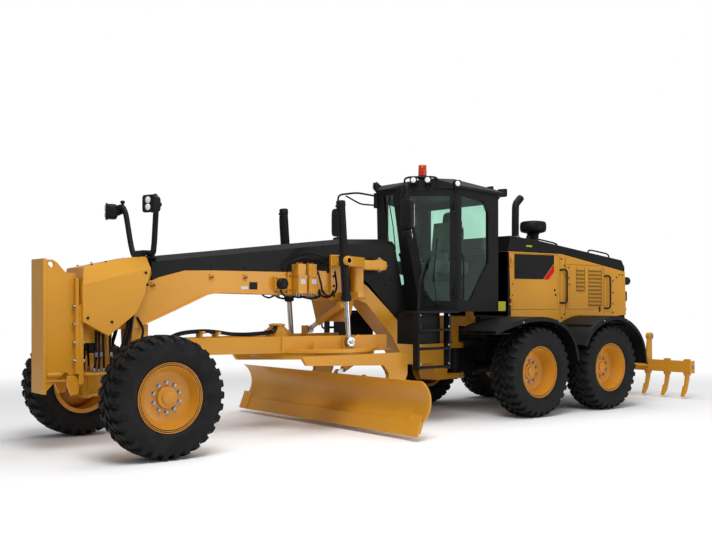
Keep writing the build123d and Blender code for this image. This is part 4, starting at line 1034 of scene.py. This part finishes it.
def lift_barrel_pieces():
    """The lift cylinders' barrels: tube, end cap, trunnion ring, gland and the hard oil line."""
    run = (LIFT_FOOT - LIFT_TOP) / np.linalg.norm(LIFT_FOOT - LIFT_TOP)
    start = LIFT_TOP - 0.715 * run
    end = LIFT_TOP + 0.485 * run
    section = [
        (0, 0.03), (0.006, 0.05), (0.016, 0.056), (0.07, 0.056), (0.075, 0.051), (0.655, 0.051),
        (0.66, 0.064), (0.77, 0.064), (0.775, 0.051), (1.12, 0.051), (1.125, 0.06), (1.185, 0.06),
        (1.192, 0.052), (1.2, 0.034),
    ]
    tube = spun(start, end, section, 40)
    pin = spun((-2.588, 0.5, 2.01), (-2.588, 0.7, 2.01), [(0, 0.03), (0.2, 0.03)], 24)
    line = rail(
        0.009,
        *(
            LIFT_TOP + (0.062, dy, 0) + step * run
            for dy, step in ((0.0, -0.62), (0.012, -0.55), (0.012, 0.38), (0.0, 0.44))
        ),
    )
    ports = [
        rod(tuple(LIFT_TOP + step * run), tuple(LIFT_TOP + step * run + (0.075, 0, 0)), 0.016)
        for step in (-0.64, 0.44)
    ]
    piece("lift_cylinder_barrels", "lift_barrels", BLACK, both([tube, pin, line, *ports]), ["lift_barrels"])
    eyes = [
        spun(
            (-2.66, 0.56, 1.05), (-2.66, 0.64, 1.05),
            [(0, 0.05), (0.004, 0.056), (0.076, 0.056), (0.08, 0.05)], 32,
        )
    ]
    piece("lift_rod_eyes", "lift_rods", STEEL, both(eyes))
    pins = [
        spun((-2.66, 0.545, 1.05), (-2.66, 0.66, 1.05), [(0, 0.026), (0.108, 0.026), (0.115, 0.02)], 24)
    ]
    piece("lift_eye_pins", "drawbar", STEEL, both(pins))


# Cab
LEVERS = (0.38, 0.42, 0.46)


def cab_details():
    """Steering column, levers, wheel and seat padding, the front wiper and the grab rails."""
    trim = [
        rail(0.045, (-4.18, 0, 1.45), (-4.22, 0, 1.75), (-4.3, 0, 2.02), (-4.36, 0, 2.1)),
        block((-4.2, 0, 1.75), (0.13, 0.2, 0.5), 0.4),
        block((-4.6, 0.42, 1.98), (0.42, 0.14, 0.16), 0.35),
        block((-4.6, -0.42, 1.98), (0.42, 0.14, 0.16), 0.35),
        *both([rail(0.012, (-4.42, y, 2.02), (-4.42, y, 2.12), (-4.4, y, 2.17)) for y in LEVERS]),
    ]
    piece("cab_console", "front_frame", TRIM, trim)
    angles = np.linspace(0, 2 * math.pi, 11)[:-1]
    section = [(0.19 + 0.014 * math.cos(angle), 0.014 * math.sin(angle)) for angle in angles]
    tilt = turning("Y", -25) @ turning("X", 90)
    ring = [moved(turned(section, 40, True), at(-4.38, 0, 2.13), tilt)]
    for end in ((-4.38, 0.18, 2.13), (-4.38, -0.18, 2.13), (-4.54, 0, 2.2)):
        ring.append(rod((-4.36, 0, 2.1), end, 0.012))
    knobs = both([block((-4.4, y, 2.19), (0.035, 0.035, 0.045), 0.8) for y in LEVERS])
    seat = [
        block((-4.62, 0, 1.9), (0.5, 0.52, 0.14), 0.4),
        block((-4.88, 0, 2.28), (0.13, 0.5, 0.66), 0.4, turning("Y", 8)),
        block((-4.95, 0, 2.68), (0.1, 0.3, 0.2), 0.5, turning("Y", 8)),
        *both([block((-4.68, 0.3, 2.1), (0.34, 0.075, 0.06), 0.5)]),
    ]
    piece("steering_wheel", "front_frame", CLOTH, [*ring, *knobs, *seat])
    fixed = [
        rod((-3.83, 0.0, 2.93), (-3.81, 0.0, 2.86), 0.02),
        rail(0.007, (-3.765, 0.03, 2.88), (-3.79, 0.1, 2.5), (-3.81, 0.12, 2.2)),
        *both([
            rail(0.013, (-4.36, 0.79, 1.55), (-4.36, 0.82, 1.6), (-4.36, 0.82, 2.1), (-4.36, 0.79, 2.15))
        ]),
    ]
    piece("cab_wipers", "front_frame", BLACK, fixed)


CAB_CORNER = (-4.33, 0.75)
DOOR_ALONG = (0.726, -0.687)
DOOR_OUT = (0.687, 0.726)


def on_door(along, out, z):
    """A place on the left door: along it from the cab's corner, out from its face, and its height."""
    x, y = (CAB_CORNER[k] + along * DOOR_ALONG[k] + out * DOOR_OUT[k] for k in range(2))
    return x, y, z


def door_details():
    """The pull rail, latch and wiper on the outside of each cab door."""
    slant = turning("Z", math.degrees(math.atan2(DOOR_ALONG[1], DOOR_ALONG[0])))
    for side, hand in SIDES:
        forms = [
            rail(
                0.01, on_door(0.463, 0, 1.74), on_door(0.466, 0.045, 1.76), on_door(0.486, 0.045, 1.96),
                on_door(0.49, 0, 1.98),
            ),
            block(on_door(0.42, 0.01, 1.63), (0.05, 0.03, 0.08), 0.4, slant),
            block(on_door(0.27, 0.01, 1.5), (0.07, 0.03, 0.05), 0.4, slant),
            rail(0.006, on_door(0.27, 0.02, 1.5), on_door(0.31, 0.025, 1.8), on_door(0.3, 0.02, 2.05)),
            rod(on_door(0.32, 0.01, 1.78), on_door(0.27, 0.01, 2.35), 0.007),
        ]
        piece(f"door_handles_{hand}", f"cab_door_{hand}", BLACK, on_side(side, forms))


def step_details():
    """Toothed treads, hand rails and bolts on the access steps."""
    forms = []
    for z in (0.71, 0.94, 1.17):
        forms.append(bar((-3.97, -3.47), (0.84, 0.975), (z - 0.006, z + 0.012), 0.003))
        forms += [
            bar((x, x + 0.012), (0.85, 0.965), (z + 0.01, z + 0.02), 0.002)
            for x in np.arange(-3.93, -3.49, 0.055)
        ]
    forms += [
        rail(0.015, (-3.47, 0.93, 1.40), (-3.45, 0.97, 1.75), (-3.62, 0.93, 2.05), (-3.72, 0.86, 2.1)),
        bar((-3.95, -3.5), (0.5, 0.82), (1.0, 1.383), 0.01),
        bar((-3.9, -3.55), (0.815, 0.828), (1.05, 1.34)),
        rail(0.012, (-3.47, 0.95, 1.15), (-3.44, 1.0, 1.18), (-3.44, 1.0, 1.34), (-3.47, 0.95, 1.37)),
    ]
    piece("step_treads", "front_frame", BLACK, both(forms))
    heads = bolts(
        "+Y", 0.011, 0.01, *((x, 0.96, z) for x in (-3.96, -3.48) for z in (0.76, 0.99, 1.22, 1.36)),
    )
    piece("step_bolts", "front_frame", STEEL, both(heads))


# Engine house
PANEL = [(-5.557, 2.194), (-6.405, 2.2), (-6.405, 2.085), (-6.163, 1.852), (-5.557, 1.848)]
STRIPE = [(-6.175, 1.85), (-6.282, 1.85), (-6.405, 1.965), (-6.405, 2.07)]
HOUSE_BOLTS = [
    (-6.57, 2.154), (-6.636, 2.06), (-6.63, 1.35), (-6.57, 1.3), (-7.892, 1.912), (-7.799, 1.854),
    (-7.799, 1.673), (-7.799, 1.504), (-7.799, 1.37), (-7.967, 1.95), (-8.043, 1.95),
]
DOOR_BOLTS = [(-6.737, 2.03), (-6.747, 1.88), (-6.754, 1.788), (-6.737, 1.572)]
CAP_BOLT_PLACES = np.arange(-7.9, -5.5, 0.3)
# Corners (x0, z0, x1, z1) of each grille and its number of louvres
GRILLE_BOXES = ((-7.11, 1.69, -6.92, 2.04, 6), (-7.51, 1.47, -7.21, 2.04, 10))


def grab_rail(x, low, high, bend_x, bend_y, far_x):
    """An upright grab rail on the house's side, with a bend near each foot."""
    upper = [(x, 0.61, high), (bend_x, bend_y, high + 0.01), (far_x, 0.66, high - 0.02)]
    lower = [(far_x, 0.66, low + 0.02), (bend_x, bend_y, low - 0.01), (x, 0.61, low)]
    return rail(0.013, *upper, *lower)


def engine_house():
    """Panels, stripe, handles, louvres, latches and bolts of the engine house and its doors."""
    for side, hand in SIDES:
        front = f"hood_door_{hand}"
        rear = f"grille_door_{hand}"
        piece(f"door_panel_{hand}", front, BLACK, on_side(side, [plate(PANEL, "Y", 0.616, 0.622, 0.002)]))
        piece(f"door_stripe_{hand}", front, RED, on_side(side, [plate(STRIPE, "Y", 0.617, 0.6235, 0.001)]))
        latch = []
        for x, z in ((-6.42, 1.70), (-6.44, 1.63)):
            latch.append(
                spun((x, 0.617, z), (x, 0.628, z), [(0, 0.016), (0.007, 0.016), (0.011, 0.01)], 20)
            )
        latch += bolts("+Y", 0.009, 0.008, *((-5.52, 0.617, z) for z in (1.5, 1.62, 1.78, 2.1)))
        piece(f"door_latch_{hand}", front, BLACK, on_side(side, latch))
        louvres = []
        for x0, z0, x1, z1, count in GRILLE_BOXES:
            pitch = (z1 - z0) / count
            for row in range(count):
                foot = z0 + row * pitch
                lip = [
                    (0.614, foot + 0.03), (0.634, foot + 0.008), (0.631, foot + 0.004),
                    (0.61, foot + 0.024),
                ]
                louvres.append(plate(lip, "X", x0, x1, 0.001))
            louvres.append(bar((x0 - 0.012, x0), (0.616, 0.622), (z0, z1), 0.002))
            louvres.append(bar((x1, x1 + 0.012), (0.616, 0.622), (z0, z1), 0.002))
        # Louvres and their side bars take the darkened yellow, a painted shade
        piece(f"door_louvres_{hand}", rear, GRILLE_SHADED_YELLOW, on_side(side, louvres))
        catch = bolts("+Y", 0.011, 0.01, *((x, 0.617, z) for x, z in DOOR_BOLTS))
        catch += [
            spun((-7.47, 0.617, z), (-7.47, 0.63, z), [(0, 0.02), (0.008, 0.02), (0.013, 0.012)], 20)
            for z in (1.44, 1.40)
        ]
        piece(f"grille_latch_{hand}", rear, BLACK, on_side(side, catch))

    rails = [
        grab_rail(-6.53, 1.52, 1.99, -6.6, 0.665, -6.649),
        grab_rail(-7.58, 1.44, 1.92, -7.64, 0.66, -7.684),
        rail(0.012, (-6.1, 0.54, 2.37), (-6.13, 0.54, 2.43), (-6.56, 0.54, 2.38), (-6.58, 0.54, 2.31)),
        rail(0.012, (-7.26, 0.54, 2.24), (-7.32, 0.54, 2.32), (-7.79, 0.54, 2.27), (-7.83, 0.54, 2.18)),
        *bolts("+Y", 0.011, 0.01, *((x, 0.62, z) for x, z in HOUSE_BOLTS)),
        spun(
            (-8.1, 0.57, 1.86), (-8.25, 0.57, 1.86),
            [(0, 0.02), (0.03, 0.03), (0.06, 0.055), (0.1, 0.062), (0.14, 0.062), (0.15, 0.056)], 28,
        ),
        bar((-8.13, -8.09), (0.53, 0.61), (1.78, 1.94)),
        bar((-5.44, -5.415), (-0.615, 0.615), (1.335, 2.22)),
        plate(
            [(-5.425, 1.335), (-5.425, 2.22), (-5.446, 2.22), (-5.484, 1.335)], "Y", 0.616, 0.6225, 0.001,
        ),
        block((-8.16, 0.56, 1.62), (0.06, 0.1, 0.16), 0.3),
        rod((-8.13, 0.56, 1.42), (-8.2, 0.56, 1.42), 0.03),
        *bolts("+Y", 0.01, 0.008, *((x, 0.62, 2.24 - 0.145 * max(0, -6.57 - x)) for x in CAP_BOLT_PLACES)),
    ]
    piece("house_rails", "rear_frame", BLACK, both(rails))
    plates = [
        plate([(-5.07, 1.404), (-5.235, 1.404), (-5.235, 1.532), (-5.07, 1.532)], "Y", 0.74, 0.75, 0.002),
        plate([(-5.8, 2.30), (-5.925, 2.30), (-5.925, 2.325), (-5.8, 2.325)], "Y", 0.619, 0.6215, 0.001),
    ]
    piece("house_plates", "rear_frame", PALE, both(plates))
    seams = [
        bar((x - 0.004, x + 0.004), (0.6185, 0.621), (1.34, top), 0.001)
        for x, top in ((-6.537, 2.2), (-6.66, 2.18), (-7.578, 2.06))
    ]
    piece("house_seams", "rear_frame", HOSE, both(seams))
    lenses = [
        moved(
            turned([(0.001, 0), (0.04, 0), (0.04, 0.006), (0.02, 0.014), (0.001, 0.015)], 24),
            at(-8.25, 0.57, 1.86), STANDS["-X"],
        )
    ]
    piece("rear_lamp_lenses", "rear_frame", AMBER, both(lenses))


def stack_pieces():
    """The exhaust with its turned-back tip and the flattened drum of the air precleaner."""
    forms = [
        rail(
            0.056, (-6.555, -0.25, 2.33), (-6.555, -0.25, 2.75), (-6.56, -0.25, 3.02),
            (-6.68, -0.25, 3.13),
        ),
        spun(
            (-6.555, -0.25, 2.33), (-6.555, -0.25, 2.6),
            [(0, 0.09), (0.03, 0.09), (0.04, 0.066), (0.2, 0.066), (0.21, 0.058)], 32,
        ),
        spun(
            (-6.79, -0.1, 2.3), (-6.79, -0.1, 2.77),
            [
                (0, 0.1), (0.05, 0.1), (0.06, 0.082), (0.13, 0.082), (0.135, 0.095), (0.165, 0.095),
                (0.17, 0.082), (0.25, 0.085), (0.28, 0.1), (0.29, 0.15), (0.3, 0.18), (0.325, 0.196),
                (0.36, 0.2), (0.41, 0.2), (0.445, 0.188), (0.46, 0.16), (0.468, 0.1), (0.472, 0.01),
            ],
            56,
        ),
        rail(0.035, (-6.66, -0.1, 2.42), (-6.68, -0.1, 2.52), (-6.74, -0.1, 2.54)),
    ]
    piece("exhaust_and_precleaner", "rear_frame", BLACK, forms, ["stacks"])
    clamp = [
        spun(
            (-6.79, -0.1, 2.435), (-6.79, -0.1, 2.465),
            [(0, 0.0955), (0.002, 0.097), (0.028, 0.097), (0.03, 0.0955)], 40,
        )
    ]
    clamp += [
        spun(
            (-6.555, -0.25, 2.5), (-6.555, -0.25, 2.53),
            [(0, 0.0665), (0.002, 0.069), (0.028, 0.069), (0.03, 0.0665)], 40,
        )
    ]
    piece("stack_clamps", "rear_frame", STEEL, clamp)


# Running gear and tools
RIPPER_X = -9.13
SHANKS = 7
SHANK_PITCH = 0.355
BOOT = [(-0.045, 0.62), (0.045, 0.62), (0.05, 0.4), (0.04, 0.36), (-0.045, 0.36)]
TIP = [(0.02, 0.19), (0.06, 0.12), (0.13, 0.035), (0.145, 0.03), (0.135, 0.06), (0.095, 0.16), (0.085, 0.2)]


def ripper_details():
    """Shank boots and tips, the beam's end caps, the lift link's bosses and their pins."""
    forms, pins = [], []
    for index in range(SHANKS):
        y = SHANK_PITCH * (index - SHANKS // 2)
        forms.append(plate([(RIPPER_X + x, z) for x, z in BOOT], "Y", y - 0.04, y + 0.04))
        forms.append(plate([(RIPPER_X + x, z) for x, z in TIP], "Y", y - 0.032, y + 0.032, 0.003))
        pins += bolts("+Y", 0.014, 0.014, (RIPPER_X, y + 0.04, 0.5))
    forms += both([bar((RIPPER_X - 0.06, RIPPER_X + 0.07), (1.14, 1.165), (0.4, 0.6), 0.006)])
    forms += both([
        spun(
            (RIPPER_X, 0.34, 0.97), (RIPPER_X, 0.42, 0.97),
            [(0, 0.055), (0.005, 0.06), (0.075, 0.06), (0.08, 0.055)], 28,
        )
    ])
    piece("ripper_boots", "ripper", YELLOW, forms)
    pins += both(
        bolts("+Y", 0.024, 0.02, (RIPPER_X, 1.165, 0.5)) + bolts("+Y", 0.028, 0.02, (RIPPER_X, 0.42, 0.97))
    )
    piece("ripper_pins", "ripper", STEEL, pins)


PLOUGH_HEAD = [(0.001, 0), (0.014, 0), (0.014, 0.002), (0.008, 0.004), (0.001, 0.004)]


def blade_details():
    """Plough bolts in a row along the cutting edge, square to the moldboard's lower face."""
    top = np.array((-2.708, 0.205))
    toe = np.array((-2.646, 0.05))
    slope = (toe - top) / np.linalg.norm(toe - top)
    normal = np.array((-slope[1], slope[0]))
    place = top + 0.045 * slope
    heads = []
    stand = turning("Y", -math.degrees(math.atan2(normal[1], normal[0]))) @ STANDS["+X"]
    for y in np.arange(-1.72, 1.73, 0.155):
        heads.append(moved(turned(PLOUGH_HEAD, 10), at(place[0], y, place[1]), stand))
    piece("blade_bolts", "moldboard", STEEL, heads)


MID_FENDER = [
    (-4.48, 1.155), (-4.62, 1.205), (-4.93, 1.28), (-5.2, 1.315), (-5.49, 1.315), (-5.75, 1.26),
    (-5.95, 1.15), (-6.09, 0.96), (-6.16, 0.74),
]
REAR_FENDER = [
    (-6.27, 0.93), (-6.4, 1.11), (-6.6, 1.24), (-6.88, 1.315), (-7.12, 1.31), (-7.36, 1.23),
    (-7.56, 1.09), (-7.69, 0.9), (-7.76, 0.62),
]
FENDER_SECTION = [
    (0.6205, 0.009), (1.238, 0.009), (1.262, 0.004), (1.273, -0.012), (1.273, -0.05), (1.264, -0.05),
    (1.264, -0.016), (1.252, -0.007), (1.236, -0.009), (0.6205, -0.009),
]


def fender_sheet(outline):
    """A mudguard: its section of (y, n), rolled edge and all, carried along a smooth curve with
    n square to the curve."""
    path = smoothed(np.insert(np.array(outline, float), 1, 0, axis=1), 6)
    run = np.gradient(path, axis=0)
    run /= np.linalg.norm(run, axis=1, keepdims=True)
    normal = np.stack([-run[:, 2], 0 * run[:, 0], run[:, 0]], -1)
    normal *= np.sign(normal[:, 2].sum())
    section = np.array(FENDER_SECTION)
    points = path[:, None] + section[None, :, :1] * (0, 1, 0) + section[None, :, 1:] * normal[:, None]
    return shell(points + (AXLE_X, 0, 0))


def fender_pieces():
    """Mudguards with rolled edges over the tandem wheels, their side plates, stays and bolts."""
    forms = [
        fender_sheet(MID_FENDER),
        fender_sheet(REAR_FENDER),
        plate(
            [(-4.9, 1.33), (-7.62, 1.33), (-7.66, 1.05), (-6.25, 0.98), (-4.95, 1.05)], "Y", 0.585, 0.612,
        ),
        bar((-4.84, -4.5), (0.64, 1.2), (1.11, 1.128), 0.004),
    ]
    for x in (-5.0, -5.72, -6.5, -7.3):
        forms.append(bar((x - 0.025, x + 0.025), (0.6, 1.22), (1.19, 1.21), 0.004))
    piece("mudguards", "rear_frame", BLACK, both(forms), ["fenders"])
    heads = bolts("+Y", 0.011, 0.01, *((x, 1.273, 1.262) for x in (-5.0, -5.72, -6.7, -7.25)))
    piece("mudguard_bolts", "rear_frame", STEEL, both(heads))


# Studio
def floor_finish():
    """A pale studio floor that fades into the white backdrop away from the machine."""
    finish = Finish("studio_floor")
    reach = finish.node("ShaderNodeVectorMath", {"operation": "LENGTH"}, {0: finish.place}, "Value")
    far = reach.step(5.0, 11.0)
    plain = finish.node("ShaderNodeBsdfDiffuse", {}, {"Color": paint(246, 246, 247)}, "BSDF")
    white = finish.node("ShaderNodeEmission", {}, {"Strength": 1.0}, "Emission")
    path = finish.node("ShaderNodeLightPath", {}, {}, "Is Camera Ray")
    mixed = finish.node("ShaderNodeMixShader", {}, {0: far * path, 1: plain, 2: white})
    return finish.close(mixed)


LAMPS = (
    ("key", (5.0, 5.0, 9.0), 5.0, 640.0),
    ("overhead", (-2.0, 0.0, 10.0), 9.0, 520.0),
    ("left_fill", (-6.0, 12.5, 3.5), 6.0, 330.0),
)
SURROUND = 0.36


def studio():
    """Floor, white surroundings and soft lamps."""
    bpy.ops.mesh.primitive_plane_add(size=120.0, location=(0, 0, 0))
    floor = bpy.context.object
    floor.name = "studio_floor"
    floor.data.materials.append(floor_finish())

    world = bpy.data.worlds.new("studio")
    bpy.context.scene.world = world
    world.use_nodes = True
    nodes = world.node_tree.nodes
    links = world.node_tree.links
    nodes.clear()
    path = nodes.new("ShaderNodeLightPath")
    seen = nodes.new("ShaderNodeMath")
    seen.operation = "MAXIMUM"
    links.new(path.outputs["Is Camera Ray"], seen.inputs[0])
    links.new(path.outputs["Is Transmission Ray"], seen.inputs[1])
    strength = nodes.new("ShaderNodeMapRange")
    strength.inputs["To Min"].default_value = SURROUND
    strength.inputs["To Max"].default_value = 1.0
    links.new(seen.outputs[0], strength.inputs["Value"])
    back = nodes.new("ShaderNodeBackground")
    back.inputs["Color"].default_value = (1.0, 1.0, 1.0, 1.0)
    links.new(strength.outputs[0], back.inputs["Strength"])
    links.new(back.outputs[0], nodes.new("ShaderNodeOutputWorld").inputs["Surface"])

    for name, place, size, energy in LAMPS:
        lamp = bpy.data.lights.new(name, "AREA")
        lamp.size = size
        lamp.energy = energy
        thing = bpy.data.objects.new(name, lamp)
        bpy.context.scene.collection.objects.link(thing)
        thing.location = place
        thing.rotation_mode = "QUATERNION"
        thing.rotation_quaternion = (-thing.location).to_track_quat("-Z", "Y")


def camera():
    """The photograph's camera: level, turned and shifted as it was."""
    data = bpy.data.cameras.new("photo_camera")
    data.sensor_width = SENSOR
    data.lens = FOCAL_PIXELS / PHOTO_WIDTH * SENSOR
    data.shift_y = (HORIZON_ROW - PHOTO_HEIGHT / 2) / PHOTO_WIDTH
    data.clip_end = 200.0
    thing = bpy.data.objects.new("photo_camera", data)
    bpy.context.scene.collection.objects.link(thing)
    thing.location = CAMERA_PLACE
    thing.rotation_euler = (math.pi / 2, 0.0, CAMERA_YAW - math.pi / 2)
    bpy.context.scene.camera = thing


dress_nodes()
soften_edges()
wheels()
front_end()
drawbar_lines()
head_lamps()
roof_gear()
mirror_arms()
valve_gear()
saddle_details()
lift_barrel_pieces()
cab_details()
door_details()
step_details()
engine_house()
stack_pieces()
ripper_details()
blade_details()
fender_pieces()
studio()
camera()
bpy.context.scene.view_settings.view_transform = "Standard"
